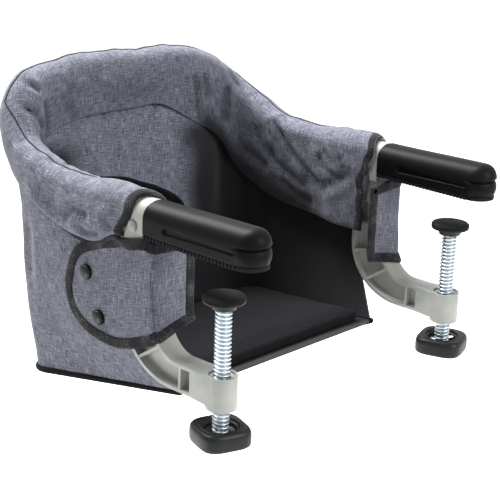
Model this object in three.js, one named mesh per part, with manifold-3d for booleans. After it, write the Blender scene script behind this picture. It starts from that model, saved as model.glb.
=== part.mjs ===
// Hook-on table chair: a fabric bucket seat carried by a folding tube hoop and two C-shaped clamp brackets.
// Millimetres, +Z up. X = 0 lies midway between the arms and Y = 0 on the edge of the table, which is at -Y.
// Z = 0 is the tabletop. The pieces of one side are made at +X, and the other side mirrors them.
import * as THREE from "three";
import { mergeVertices } from "three/addons/utils/BufferGeometryUtils.js";
import Module from "manifold-3d";

const wasm = await Module();
wasm.setup();

// Shared fits
const CLEARANCE = 0.3;
const ROUND_STEPS = 24;
const ARM_SPACING = 340;
const TABLE_THICKNESS = 35;

// Grip that rests on the tabletop
const GRIP_WIDTH = 38;
const GRIP_SHOULDER = 17;
const GRIP_REAR_HEIGHT = 34;
const GRIP_NOSE_HEIGHT = 36.5;
const GRIP_REAR_Y = 12.4;
const GRIP_NOSE_Y = -126;
const NOSE_ROUND = 15;
const NOSE_GROOVE_Z = 20;
const NOSE_GROOVE_HEIGHT = 2.6;
const NOSE_GROOVE_DEPTH = 2.4;
const SIDE_SLOT_Z = 14;
const SIDE_SLOT_HEIGHT = 5;
const SIDE_SLOT_DEPTH = 2.5;
const SIDE_SLOT_REAR_Y = -15;
const SIDE_SLOT_FRONT_Y = -106;

// Rubber sole with a toothed edge
const SOLE_THICKNESS = 4;
const SOLE_EDGE_SETBACK = 1.6;
const TOOTH_PITCH = 4.4;
const TOOTH_DEPTH = 1.4;
const TOOTH_SHARE = 0.55;

// Arm bar inside the grip
const BAR_WIDTH = 22;
const BAR_BOTTOM = 8;
const BAR_TOP = 28;
const BAR_FRONT_Y = -100;

// C-bracket: ribbed I-section spine and jaw
const BEAM_WIDTH = 24;
const WEB_THICKNESS = 6;
const FLANGE = 3.5;
const SPINE_FRONT_Y = 3.5;
const SPINE_REAR_Y = 46;
const JAW_TOP = -112;
const JAW_BOTTOM = -140;
const INNER_BEND_Y = 32;
const INNER_BEND_Z = 37;
const OUTER_BEND_Y = 66;
const OUTER_BEND_Z = 60;
const POCKET_TOP = -34;
const RIB_THICKNESS = 3;
const BEND_RIB_DEGREES = [-46, -12];
const JAW_RIB_Y = -33;
const SPINE_RIB_Z = -58;
const NECK_INSET = 2;
const NECK_BOTTOM = -6;
const NECK_REAR_Y = 44;

// Clamp screw, its boss, nut, knob and pressure pad
const SCREW_Y = -76.5;
const SCREW_DIAMETER = 16;
const SCREW_CLEARANCE = 0.4;
const BOSS_DIAMETER = 30;
const BOSS_TOP = -111.5;
const BOSS_BOTTOM = -144;
const BOSS_RIM = 2.2;
const BOSS_RECESS = 1.8;
const NUT_FLATS = 21;
const NUT_HEIGHT = 13;
const PAD_DIAMETER = 40;
const PAD_HEIGHT = 9;
const PAD_FACE_HEIGHT = 3;
const PAD_SOCKET_DEPTH = 5;
const KNOB_FLATS = 49;
const KNOB_CORNER = 15;
const KNOB_TURN_DEGREES = -28;
const KNOB_TOP = -161;
const KNOB_HEIGHT = 18;
const KNOB_EDGE = 3;
const KNOB_DISH_DIAMETER = 36;
const KNOB_DISH_DEPTH = 7;
const KNOB_SOCKET_DEPTH = 8;
const KNOB_PIN_DIAMETER = 4;
const KNOB_PIN_LENGTH = 26;

// Fold hinge between the bracket's neck and the hoop
const PIVOT_Y = 27;
const PIVOT_Z = 9;
const FOLD_DEGREES = 50;
const TONGUE_THICKNESS = 8;
const TONGUE_RADIUS = 20.5;
const TONGUE_TAIL_HEIGHT = 12;
const BOLT_DIAMETER = 8;
const BOLT_HEAD_DIAMETER = 11;
const BOLT_HEAD_HEIGHT = 2.6;
const HINGE_NUT_FLATS = 13;
const HINGE_NUT_HEIGHT = 6;

// Push-button that locks the fold
const LOCK_RADIUS = 13;
const LOCK_DEGREES = 120;
const LOCK_PIN_DIAMETER = 5;
const LOCK_BUTTON_DIAMETER = 10;
const LOCK_BUTTON_LENGTH = 5.5;
const LOCK_BUTTON_PROUD = 0.5;
const LOCK_TRAVEL = 3;
const LOCK_POCKET_DEPTH = 11;
const LOCK_END_WALL = 2;
const SPRING_WIRE = 0.9;
const SPRING_RADIUS = 3.9;
const SPRING_TURNS = 3;
const SPRING_STEPS = 8;

// Steel hoop of round tube
const TUBE_DIAMETER = 16;
const TUBE_WALL = 1.5;
const TUBE_FRONT_Y = 60;
const TUBE_SIDES = 10;
const SPIGOT_LENGTH = 22;
const ARM_STRAIGHT_Y = 125;
const BACK_Y = 257;
const BACK_RISE = 80;
const HOOP_CORNER_X = 127;
const HOOP_SHOULDER_Y = 205;

// Padded sleeve over the hoop
const SLEEVE_PADDING = 4.4;
const SLEEVE_FRONT_CREST = 17.5;
const SLEEVE_ARM_CREST = 12.8;
const SLEEVE_BACK_CREST = 19.5;
const SLEEVE_FRONT_WIDTH = 18.2;
const SLEEVE_BACK_WIDTH = 13.5;
const SLEEVE_FRONT_TOP = 11.6;
const SLEEVE_BACK_TOP = 9;
const SLEEVE_END_SLANT = 12;
const SLEEVE_FRONT_Y = 32;
const OUTER_HEM_FRONT_Z = -4;
const OUTER_HEM_ARM_Z = -21;
const OUTER_HEM_SHOULDER_Z = 3;
const OUTER_HEM_BACK_Z = 30;
const INNER_HANG_ARM = 95;
const INNER_HEM_OFFSET = 3;
const INNER_HANG_BACK = 47;

// Seat base and the walls of the bucket
const BASE_FRONT_Y = 2;
const BASE_FRONT_Z = -164;
const BASE_REAR_Y = 213;
const BASE_TILT = 0.146;
const BASE_FRONT_HALF = 146;
const BASE_REAR_HALF = 169;
const BASE_CORNER = 32;
const WALL_THICKNESS = 3;
const WALL_STANDOFF = 1.3;
const WALL_FRONT_Y = 56;
const FOLD_DEPTH = 2.2;
const BACK_PADDING = 16;
const BOARD_THICKNESS = 4;
const BOARD_FIT = 1.3;
const PAD_THICKNESS = 13;
const PAD_CROWN = 5;

// Flap that wraps the spine and snaps to the side wall
const FLAP_THICKNESS = 2.5;
const FLAP_RETURN_HALF = 132;
const FLAP_TOP = NECK_BOTTOM - 1;
const FLAP_FRONT_BOTTOM = -100;
const FLAP_REACH = 127.5;
const FLAP_TIP_Z = -72;
const FLAP_BOTTOM = -119.5;
const FLAP_RETURN_RISE = 11;
const SNAP_DIAMETER = 14;
const SNAP_HEIGHT = 3.4;
const SNAP_POST_DIAMETER = 6;
const SNAP_PLACES = { upper: [FLAP_REACH - 32.5, -54], lower: [FLAP_REACH - 50.5, -96] };

const ARM_X = ARM_SPACING / 2;
const TUBE_Z = PIVOT_Z + TONGUE_RADIUS - TONGUE_TAIL_HEIGHT / 2;
const NECK_HALF = GRIP_WIDTH / 2 - NECK_INSET;
const INNER_FACE_X = ARM_X - NECK_HALF;
const OUTER_FACE_X = ARM_X + NECK_HALF;
const TONGUE_SLOT = TONGUE_THICKNESS + 2 * CLEARANCE;
const FLAP_INNER_X = ARM_X + BEAM_WIDTH / 2 + CLEARANCE;

function finish(color, roughness, metalness = 0) {
  return new THREE.MeshStandardMaterial({ color, roughness, metalness });
}

const MATERIALS = {
  grip: finish(0x1d1e20, 0.42),
  rubber: finish(0x161617, 0.85),
  bracket: finish(0xc9c9c2, 0.5),
  zinc: finish(0xb9c3cc, 0.32, 1),
  knob: finish(0x1a1b1d, 0.5),
  steel: finish(0x8d9094, 0.4, 1),
  button: finish(0x2a2b2e, 0.5),
  fabric: finish(0x6b7080, 0.95),
  lining: finish(0x1b1c20, 0.95),
  board: finish(0x2b2b2d, 0.8),
  snap: finish(0x202124, 0.35),
};

// A closed geometry as a solid that can be joined and cut.
function solid(geometry) {
  const bare = geometry.clone();
  bare.deleteAttribute("normal");
  bare.deleteAttribute("uv");
  const merged = mergeVertices(bare, 1e-4);
  return new wasm.Manifold(
    new wasm.Mesh({
      numProp: 3,
      vertProperties: merged.attributes.position.array,
      triVerts: new Uint32Array(merged.index.array),
    }),
  );
}

function geometryOf(made) {
  const mesh = made.getMesh();
  const geometry = new THREE.BufferGeometry();
  geometry.setAttribute("position", new THREE.BufferAttribute(mesh.vertProperties, 3));
  geometry.setIndex(new THREE.BufferAttribute(mesh.triVerts, 1));
  geometry.computeVertexNormals();
  return geometry;
}

// An outline drawn in Y and Z, made into a slab centred on x.
function slabAlongX(shape, width, x = 0, curveSegments = ROUND_STEPS / 2) {
  const geometry = new THREE.ExtrudeGeometry(shape, { depth: width, bevelEnabled: false, curveSegments });
  const axes = new THREE.Matrix4().makeBasis(
    new THREE.Vector3(0, 1, 0),
    new THREE.Vector3(0, 0, 1),
    new THREE.Vector3(1, 0, 0),
  );
  return geometry.applyMatrix4(axes).translate(x - width / 2, 0, 0);
}

// An outline drawn in X and Z, carried from frontY to rearY.
function slabAlongY(shape, frontY, rearY) {
  const depth = rearY - frontY;
  const geometry = new THREE.ExtrudeGeometry(shape, { depth, bevelEnabled: false, curveSegments: ROUND_STEPS / 3 });
  return geometry.rotateX(Math.PI / 2).translate(0, rearY, 0);
}

// An outline drawn in X and Y, carried from bottom to top.
function slabAlongZ(shape, bottom, top, curveSegments = ROUND_STEPS / 2) {
  const depth = top - bottom;
  const geometry = new THREE.ExtrudeGeometry(shape, { depth, bevelEnabled: false, curveSegments });
  return geometry.translate(0, 0, bottom);
}

function box(x0, x1, y0, y1, z0, z1) {
  const geometry = new THREE.BoxGeometry(x1 - x0, y1 - y0, z1 - z0);
  return geometry.translate((x0 + x1) / 2, (y0 + y1) / 2, (z0 + z1) / 2);
}

function rodAlongX(diameter, x0, x1, y, z, sides = ROUND_STEPS) {
  const geometry = new THREE.CylinderGeometry(diameter / 2, diameter / 2, x1 - x0, sides);
  return geometry.rotateZ(Math.PI / 2).translate((x0 + x1) / 2, y, z);
}

function rodAlongZ(diameter, z0, z1, x, y, sides = ROUND_STEPS) {
  const geometry = new THREE.CylinderGeometry(diameter / 2, diameter / 2, z1 - z0, sides);
  return geometry.rotateX(Math.PI / 2).translate(x, y, (z0 + z1) / 2);
}

// A nut's hexagon is given by its width across flats.
function acrossCorners(flats) {
  return flats / Math.cos(Math.PI / 6);
}

function rectangle(x0, x1, y0, y1) {
  const shape = new THREE.Shape();
  shape.moveTo(x0, y0).lineTo(x1, y0).lineTo(x1, y1).lineTo(x0, y1).closePath();
  return shape;
}

function circle(x, y, radius) {
  return new THREE.Shape().absarc(x, y, radius, 0, 2 * Math.PI, false);
}

function smoothstep(from, to, value) {
  return THREE.MathUtils.smoothstep(value, from, to);
}

// A closed skin over rings of equal length, with both end rings filled.
function loft(rings, endOutline) {
  const sides = rings[0].length;
  const positions = rings.flat().flatMap((point) => [point.x, point.y, point.z]);
  const faces = [];
  for (let ring = 0; ring + 1 < rings.length; ring++) {
    for (let side = 0; side < sides; side++) {
      const a = ring * sides + side;
      const b = ring * sides + ((side + 1) % sides);
      faces.push(a, b, b + sides, a, b + sides, a + sides);
    }
  }
  const last = (rings.length - 1) * sides;
  for (const [a, b, c] of THREE.ShapeUtils.triangulateShape(endOutline, [])) {
    faces.push(c, b, a, last + a, last + b, last + c);
  }
  return facingOut(positions, faces);
}

// A sheet with thickness: an outer and an inner grid of points, joined round the border.
function sheet(outer, inner) {
  const rows = outer.length;
  const columns = outer[0].length;
  const positions = [...outer.flat(), ...inner.flat()].flatMap((point) => [point.x, point.y, point.z]);
  const half = rows * columns;
  const at = (row, column) => row * columns + column;
  const faces = [];
  for (let row = 0; row + 1 < rows; row++) {
    for (let column = 0; column + 1 < columns; column++) {
      const a = at(row, column);
      const b = at(row, column + 1);
      const c = at(row + 1, column + 1);
      const d = at(row + 1, column);
      faces.push(a, b, c, a, c, d, half + c, half + b, half + a, half + d, half + c, half + a);
    }
  }
  const border = [];
  for (let column = 0; column + 1 < columns; column++) border.push(at(0, column));
  for (let row = 0; row + 1 < rows; row++) border.push(at(row, columns - 1));
  for (let column = columns - 1; column > 0; column--) border.push(at(rows - 1, column));
  for (let row = rows - 1; row > 0; row--) border.push(at(row, 0));
  border.forEach((a, index) => {
    const b = border[(index + 1) % border.length];
    faces.push(b, a, half + a, b, half + a, half + b);
  });
  return facingOut(positions, faces);
}

// The faces are turned round as a whole where the skin came out inside out.
function facingOut(positions, faces) {
  const geometry = new THREE.BufferGeometry();
  geometry.setAttribute("position", new THREE.Float32BufferAttribute(positions, 3));
  geometry.setIndex(faces);
  const corner = (index) => new THREE.Vector3().fromBufferAttribute(geometry.attributes.position, index);
  let volume = 0;
  for (let i = 0; i < faces.length; i += 3) {
    volume += corner(faces[i]).dot(corner(faces[i + 1]).cross(corner(faces[i + 2])));
  }
  geometry.setIndex(volume < 0 ? faces.toReversed() : faces);
  geometry.computeVertexNormals();
  return geometry;
}

// Section of the grip across its length: upright sides under an elliptic dome.
function gripSection(inset, bottom, height) {
  const half = GRIP_WIDTH / 2 - inset;
  const shape = new THREE.Shape();
  shape.moveTo(ARM_X - half, bottom);
  shape.lineTo(ARM_X + half, bottom);
  shape.lineTo(ARM_X + half, GRIP_SHOULDER);
  shape.absellipse(ARM_X, GRIP_SHOULDER, half, height - GRIP_SHOULDER, 0, Math.PI, false, 0);
  shape.closePath();
  return shape;
}

// Outline of the grip from above: straight sides and a half-round nose.
function gripPlan(inset) {
  const half = GRIP_WIDTH / 2 - inset;
  const noseCentre = GRIP_NOSE_Y + GRIP_WIDTH / 2;
  const shape = new THREE.Shape();
  shape.moveTo(ARM_X + half, GRIP_REAR_Y);
  shape.lineTo(ARM_X - half, GRIP_REAR_Y);
  shape.lineTo(ARM_X - half, noseCentre);
  shape.absarc(ARM_X, noseCentre, half, Math.PI, 2 * Math.PI, false);
  shape.closePath();
  return shape;
}

// Outline of the grip from the side: a ridge that rises a little to a rounded nose.
function gripSide(bottom) {
  const shape = new THREE.Shape();
  shape.moveTo(GRIP_REAR_Y, bottom);
  shape.lineTo(GRIP_REAR_Y, GRIP_REAR_HEIGHT);
  shape.lineTo(GRIP_NOSE_Y + NOSE_ROUND, GRIP_NOSE_HEIGHT);
  shape.absarc(
    GRIP_NOSE_Y + NOSE_ROUND,
    GRIP_NOSE_HEIGHT - NOSE_ROUND,
    NOSE_ROUND,
    Math.PI / 2,
    Math.PI,
    false,
  );
  shape.lineTo(GRIP_NOSE_Y, bottom);
  shape.closePath();
  return shape;
}

// The groove that parts the nose's upper bulb from the sole, open round the nose.
function noseGroove() {
  const half = GRIP_WIDTH / 2 - NOSE_GROOVE_DEPTH;
  const reach = GRIP_WIDTH;
  const noseCentre = GRIP_NOSE_Y + GRIP_WIDTH / 2;
  const shape = new THREE.Shape();
  shape.moveTo(ARM_X - reach, noseCentre);
  shape.lineTo(ARM_X - half, noseCentre);
  shape.absarc(ARM_X, noseCentre, half, Math.PI, 2 * Math.PI, false);
  shape.lineTo(ARM_X + reach, noseCentre);
  shape.lineTo(ARM_X + reach, GRIP_NOSE_Y - reach);
  shape.lineTo(ARM_X - reach, GRIP_NOSE_Y - reach);
  shape.closePath();
  const bottom = NOSE_GROOVE_Z - NOSE_GROOVE_HEIGHT / 2;
  return slabAlongZ(shape, bottom, bottom + NOSE_GROOVE_HEIGHT);
}

function armGrip() {
  const bottom = SOLE_THICKNESS + CLEARANCE;
  const slotRadius = SIDE_SLOT_HEIGHT / 2;
  const slot = new THREE.Shape();
  slot.absarc(SIDE_SLOT_REAR_Y - slotRadius, SIDE_SLOT_Z, slotRadius, -Math.PI / 2, Math.PI / 2, false);
  slot.absarc(SIDE_SLOT_FRONT_Y + slotRadius, SIDE_SLOT_Z, slotRadius, Math.PI / 2, 1.5 * Math.PI, false);
  slot.closePath();
  const bar = box(
    ARM_X - BAR_WIDTH / 2 - CLEARANCE,
    ARM_X + BAR_WIDTH / 2 + CLEARANCE,
    BAR_FRONT_Y - CLEARANCE,
    GRIP_REAR_Y + 1,
    BAR_BOTTOM - CLEARANCE,
    BAR_TOP + CLEARANCE,
  );
  let grip = solid(slabAlongY(gripSection(0, bottom, GRIP_NOSE_HEIGHT), GRIP_NOSE_Y, GRIP_REAR_Y));
  grip = grip.intersect(solid(slabAlongZ(gripPlan(0), bottom, GRIP_NOSE_HEIGHT + 1)));
  grip = grip.intersect(solid(slabAlongX(gripSide(bottom), GRIP_WIDTH + 2, ARM_X)));
  for (const face of [-1, 1]) {
    const x = ARM_X + face * (GRIP_WIDTH / 2);
    grip = grip.subtract(solid(slabAlongX(slot, 2 * SIDE_SLOT_DEPTH, x)));
  }
  grip = grip.subtract(solid(noseGroove()));
  return geometryOf(grip.subtract(solid(bar)).subtract(tongueRoom()));
}

// The sole follows the grip's plan, with square teeth along both straight edges.
function gripSole() {
  const half = GRIP_WIDTH / 2 - SOLE_EDGE_SETBACK;
  const noseCentre = GRIP_NOSE_Y + GRIP_WIDTH / 2;
  const teeth = Math.floor((GRIP_REAR_Y - noseCentre) / TOOTH_PITCH);
  const tooth = TOOTH_PITCH * TOOTH_SHARE;
  const shape = new THREE.Shape();
  shape.moveTo(ARM_X - half, noseCentre);
  shape.absarc(ARM_X, noseCentre, half, Math.PI, 2 * Math.PI, false);
  for (let i = 0; i < teeth; i++) {
    const y = noseCentre + (i + 1) * TOOTH_PITCH - tooth;
    shape.lineTo(ARM_X + half, y);
    shape.lineTo(ARM_X + half + TOOTH_DEPTH, y);
    shape.lineTo(ARM_X + half + TOOTH_DEPTH, y + tooth);
    shape.lineTo(ARM_X + half, y + tooth);
  }
  shape.lineTo(ARM_X + half, GRIP_REAR_Y);
  shape.lineTo(ARM_X - half, GRIP_REAR_Y);
  for (let i = teeth - 1; i >= 0; i--) {
    const y = noseCentre + (i + 1) * TOOTH_PITCH - tooth;
    shape.lineTo(ARM_X - half, y + tooth);
    shape.lineTo(ARM_X - half - TOOTH_DEPTH, y + tooth);
    shape.lineTo(ARM_X - half - TOOTH_DEPTH, y);
    shape.lineTo(ARM_X - half, y);
  }
  shape.closePath();
  return geometryOf(solid(slabAlongZ(shape, 0, SOLE_THICKNESS)).subtract(tongueRoom()));
}

// Side outline of the C: straight spine, two quarter-ellipse bends and a level jaw.
function beamShape(inset, top, end) {
  const front = SPINE_FRONT_Y + inset;
  const rear = SPINE_REAR_Y - inset;
  const innerY = SPINE_FRONT_Y - INNER_BEND_Y;
  const innerZ = JAW_TOP + INNER_BEND_Z;
  const outerY = SPINE_REAR_Y - OUTER_BEND_Y;
  const outerZ = JAW_BOTTOM + OUTER_BEND_Z;
  const shape = new THREE.Shape();
  shape.moveTo(front, top);
  shape.lineTo(front, innerZ);
  shape.absellipse(innerY, innerZ, INNER_BEND_Y + inset, INNER_BEND_Z + inset, 0, -Math.PI / 2, true, 0);
  shape.lineTo(end, JAW_TOP - inset);
  shape.lineTo(end, JAW_BOTTOM + inset);
  shape.lineTo(outerY, JAW_BOTTOM + inset);
  shape.absellipse(outerY, outerZ, OUTER_BEND_Y - inset, OUTER_BEND_Z - inset, -Math.PI / 2, 0, false, 0);
  shape.lineTo(rear, top);
  shape.closePath();
  return shape;
}

// A point on a bend of the C, `turn` radians below the level of the bend's centre.
function bendPoint(centreY, centreZ, radiusY, radiusZ, turn) {
  return new THREE.Vector2(centreY + radiusY * Math.cos(turn), centreZ + radiusZ * Math.sin(turn));
}

// Cross ribs of the I-section: plates from the inner flange to the outer one, in the bend, jaw and spine.
function ribs(beam) {
  const ends = BEND_RIB_DEGREES.map((degrees) => {
    const turn = THREE.MathUtils.degToRad(degrees);
    return [
      bendPoint(SPINE_FRONT_Y - INNER_BEND_Y, JAW_TOP + INNER_BEND_Z, INNER_BEND_Y, INNER_BEND_Z, turn),
      bendPoint(SPINE_REAR_Y - OUTER_BEND_Y, JAW_BOTTOM + OUTER_BEND_Z, OUTER_BEND_Y, OUTER_BEND_Z, turn),
    ];
  });
  ends.push([new THREE.Vector2(JAW_RIB_Y, JAW_TOP), new THREE.Vector2(JAW_RIB_Y, JAW_BOTTOM)]);
  ends.push([new THREE.Vector2(SPINE_FRONT_Y, SPINE_RIB_Z), new THREE.Vector2(SPINE_REAR_Y, SPINE_RIB_Z)]);
  const plates = ends.map(([inner, outer]) => {
    const across = outer.clone().sub(inner);
    const middle = inner.clone().lerp(outer, 0.5);
    const plate = new THREE.BoxGeometry(BEAM_WIDTH - 2 * CLEARANCE, across.length(), RIB_THICKNESS);
    return solid(plate.rotateX(across.angle()).translate(ARM_X, middle.x, middle.y));
  });
  const joined = plates.reduce((all, plate) => all.add(plate));
  return joined.intersect(beam);
}

// Room for the hinge tongue through its whole fold: a disc and the wedge that the tail sweeps.
function tongueRoom() {
  const reach = SPINE_REAR_Y + TUBE_DIAMETER;
  const radius = TONGUE_RADIUS + 2 * CLEARANCE;
  const lowest = -THREE.MathUtils.degToRad(FOLD_DEGREES + 3);
  const wedge = new THREE.Shape();
  wedge.moveTo(PIVOT_Y, PIVOT_Z);
  wedge.lineTo(PIVOT_Y + reach * Math.cos(lowest), PIVOT_Z + reach * Math.sin(lowest));
  wedge.lineTo(PIVOT_Y + reach, PIVOT_Z + radius);
  wedge.lineTo(PIVOT_Y, PIVOT_Z + radius);
  wedge.closePath();
  const disc = solid(rodAlongX(2 * radius, ARM_X - TONGUE_SLOT / 2, ARM_X + TONGUE_SLOT / 2, PIVOT_Y, PIVOT_Z));
  return disc.add(solid(slabAlongX(wedge, TONGUE_SLOT, ARM_X)));
}

function lockPlace() {
  const angle = THREE.MathUtils.degToRad(LOCK_DEGREES);
  return [PIVOT_Y + LOCK_RADIUS * Math.cos(angle), PIVOT_Z + LOCK_RADIUS * Math.sin(angle)];
}

// Solid end of the jaw, which widens to meet the boss without a corner.
function jawEnd() {
  const lean = THREE.MathUtils.degToRad(8);
  const half = (BOSS_DIAMETER / 2) * Math.cos(lean);
  const front = SCREW_Y + (BOSS_DIAMETER / 2) * Math.sin(lean);
  const rear = SCREW_Y + BOSS_DIAMETER;
  const plan = new THREE.Shape();
  plan.moveTo(ARM_X - BEAM_WIDTH / 2, rear);
  plan.lineTo(ARM_X - half, front);
  plan.lineTo(ARM_X + half, front);
  plan.lineTo(ARM_X + BEAM_WIDTH / 2, rear);
  plan.closePath();
  return solid(slabAlongZ(plan, JAW_BOTTOM, JAW_TOP));
}

function clampBracket() {
  const beam = solid(slabAlongX(beamShape(0, -CLEARANCE, SCREW_Y), BEAM_WIDTH, ARM_X));
  const pocketEnd = SCREW_Y + BOSS_DIAMETER - FLANGE;
  const pocketDepth = (BEAM_WIDTH - WEB_THICKNESS) / 2;
  const pocket = beamShape(FLANGE, POCKET_TOP, pocketEnd);
  let body = beam;
  for (const face of [-1, 1]) {
    const x = ARM_X + (face * (WEB_THICKNESS + 2 * pocketDepth)) / 2;
    body = body.subtract(solid(slabAlongX(pocket, 2 * pocketDepth, x)));
  }
  body = body.add(ribs(beam)).add(jawEnd());
  const neckFront = GRIP_REAR_Y + CLEARANCE;
  body = body.add(solid(slabAlongY(gripSection(NECK_INSET, NECK_BOTTOM, GRIP_REAR_HEIGHT), neckFront, NECK_REAR_Y)));
  body = body.add(
    solid(
      box(ARM_X - BAR_WIDTH / 2, ARM_X + BAR_WIDTH / 2, BAR_FRONT_Y, neckFront + 1, BAR_BOTTOM, BAR_TOP),
    ),
  );
  body = body.add(solid(rodAlongZ(BOSS_DIAMETER, BOSS_BOTTOM, BOSS_TOP, ARM_X, SCREW_Y)));
  const bore = SCREW_DIAMETER + 2 * SCREW_CLEARANCE;
  body = body.subtract(solid(rodAlongZ(bore, BOSS_BOTTOM - 1, BOSS_TOP + 1, ARM_X, SCREW_Y)));
  const recess = BOSS_DIAMETER - 2 * BOSS_RIM;
  body = body.subtract(solid(rodAlongZ(recess, BOSS_TOP - BOSS_RECESS, BOSS_TOP + 1, ARM_X, SCREW_Y)));
  const nutPocket = acrossCorners(NUT_FLATS + 2 * CLEARANCE);
  const nutTop = BOSS_BOTTOM + NUT_HEIGHT + CLEARANCE;
  body = body.subtract(solid(rodAlongZ(nutPocket, BOSS_BOTTOM - 1, nutTop, ARM_X, SCREW_Y, 6)));
  body = body.subtract(tongueRoom());
  const boltBore = BOLT_DIAMETER + 2 * CLEARANCE;
  body = body.subtract(solid(rodAlongX(boltBore, INNER_FACE_X - 1, OUTER_FACE_X + 1, PIVOT_Y, PIVOT_Z)));
  const hingePocket = acrossCorners(HINGE_NUT_FLATS + 2 * CLEARANCE);
  const hingePocketEnd = INNER_FACE_X + HINGE_NUT_HEIGHT + CLEARANCE;
  body = body.subtract(solid(rodAlongX(hingePocket, INNER_FACE_X - 1, hingePocketEnd, PIVOT_Y, PIVOT_Z, 6)));
  const [lockY, lockZ] = lockPlace();
  const buttonBore = LOCK_BUTTON_DIAMETER + 2 * CLEARANCE;
  const pinBore = LOCK_PIN_DIAMETER + 2 * CLEARANCE;
  const buttonEnd = INNER_FACE_X + LOCK_POCKET_DEPTH;
  body = body.subtract(solid(rodAlongX(buttonBore, INNER_FACE_X - 1, buttonEnd, lockY, lockZ)));
  body = body.subtract(solid(rodAlongX(pinBore, buttonEnd - 1, OUTER_FACE_X - LOCK_END_WALL, lockY, lockZ)));
  return geometryOf(body);
}

function clampScrew() {
  const top = -TABLE_THICKNESS - PAD_FACE_HEIGHT - PAD_HEIGHT + PAD_SOCKET_DEPTH - CLEARANCE;
  const bottom = KNOB_TOP - KNOB_DISH_DEPTH - KNOB_SOCKET_DEPTH + CLEARANCE;
  const pinBore = KNOB_PIN_DIAMETER + 2 * CLEARANCE;
  const rod = solid(rodAlongZ(SCREW_DIAMETER, bottom, top, ARM_X, SCREW_Y));
  const reach = SCREW_DIAMETER;
  const hole = rodAlongX(pinBore, ARM_X - reach, ARM_X + reach, SCREW_Y, knobPinZ(), ROUND_STEPS / 2);
  return geometryOf(rod.subtract(solid(knobTurned(hole))));
}

function screwNut() {
  const bottom = BOSS_BOTTOM;
  const hexagon = solid(rodAlongZ(acrossCorners(NUT_FLATS), bottom, bottom + NUT_HEIGHT, ARM_X, SCREW_Y, 6));
  const bore = SCREW_DIAMETER + 2 * SCREW_CLEARANCE;
  return geometryOf(hexagon.subtract(solid(rodAlongZ(bore, bottom - 1, bottom + NUT_HEIGHT + 1, ARM_X, SCREW_Y))));
}

// Turns a shape about the screw's axis to where the knob stands at rest.
function knobTurned(geometry) {
  const turn = THREE.MathUtils.degToRad(KNOB_TURN_DEGREES);
  return geometry.translate(-ARM_X, -SCREW_Y, 0).rotateZ(turn).translate(ARM_X, SCREW_Y, 0);
}

// The cross pin lies on the floor of the knob's dish.
function knobPinZ() {
  return KNOB_TOP - KNOB_DISH_DEPTH + KNOB_PIN_DIAMETER / 2 + CLEARANCE;
}

function knobPin() {
  const half = KNOB_PIN_LENGTH / 2;
  return knobTurned(rodAlongX(KNOB_PIN_DIAMETER, ARM_X - half, ARM_X + half, SCREW_Y, knobPinZ(), ROUND_STEPS / 2));
}

// A rounded square with eased edges, dished on top round the screw's end.
function clampKnob() {
  const half = KNOB_FLATS / 2 - KNOB_EDGE;
  const corner = KNOB_CORNER - KNOB_EDGE;
  const plan = new THREE.Shape();
  plan.moveTo(half - corner, -half);
  plan.absarc(half - corner, corner - half, corner, -Math.PI / 2, 0, false);
  plan.absarc(half - corner, half - corner, corner, 0, Math.PI / 2, false);
  plan.absarc(corner - half, half - corner, corner, Math.PI / 2, Math.PI, false);
  plan.absarc(corner - half, corner - half, corner, Math.PI, 1.5 * Math.PI, false);
  plan.closePath();
  const block = new THREE.ExtrudeGeometry(plan, {
    depth: KNOB_HEIGHT - 2 * KNOB_EDGE,
    bevelThickness: KNOB_EDGE,
    bevelSize: KNOB_EDGE,
    bevelSegments: 2,
    curveSegments: 5,
  });
  block.translate(ARM_X, SCREW_Y, KNOB_TOP - KNOB_HEIGHT + KNOB_EDGE);
  const floor = KNOB_TOP - KNOB_DISH_DEPTH;
  const socket = SCREW_DIAMETER + 2 * CLEARANCE;
  const dish = KNOB_DISH_DIAMETER / 2;
  const bowl = [
    [0, floor],
    [0.72 * dish, floor],
    [0.9 * dish, floor + 0.3 * KNOB_DISH_DEPTH],
    [dish, KNOB_TOP],
    [dish, KNOB_TOP + 1],
    [0, KNOB_TOP + 1],
  ].map(([radius, z]) => new THREE.Vector2(radius, z));
  const cut = new THREE.LatheGeometry(bowl, ROUND_STEPS).rotateX(Math.PI / 2).translate(ARM_X, SCREW_Y, 0);
  let knob = solid(knobTurned(block));
  knob = knob.subtract(solid(cut));
  knob = knob.subtract(solid(rodAlongZ(socket, floor - KNOB_SOCKET_DEPTH, floor + 1, ARM_X, SCREW_Y)));
  return geometryOf(knob);
}

// Swivel pad on the screw's end: a dished plate with a socket under it.
function pressurePad() {
  const top = -TABLE_THICKNESS - PAD_FACE_HEIGHT - CLEARANCE;
  const bottom = -TABLE_THICKNESS - PAD_FACE_HEIGHT - PAD_HEIGHT;
  const hub = SCREW_DIAMETER / 2 + FLANGE;
  const socket = SCREW_DIAMETER / 2 + CLEARANCE;
  const profile = [
    [0, bottom + PAD_SOCKET_DEPTH],
    [socket, bottom + PAD_SOCKET_DEPTH],
    [socket, bottom],
    [hub, bottom],
    [hub + 1, (top + bottom) / 2],
    [PAD_DIAMETER / 2, top - 2],
    [PAD_DIAMETER / 2, top],
    [0, top],
  ].map(([radius, z]) => new THREE.Vector2(radius, z));
  const plate = new THREE.LatheGeometry(profile, ROUND_STEPS);
  return plate.rotateX(Math.PI / 2).translate(ARM_X, SCREW_Y, 0);
}

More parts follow.
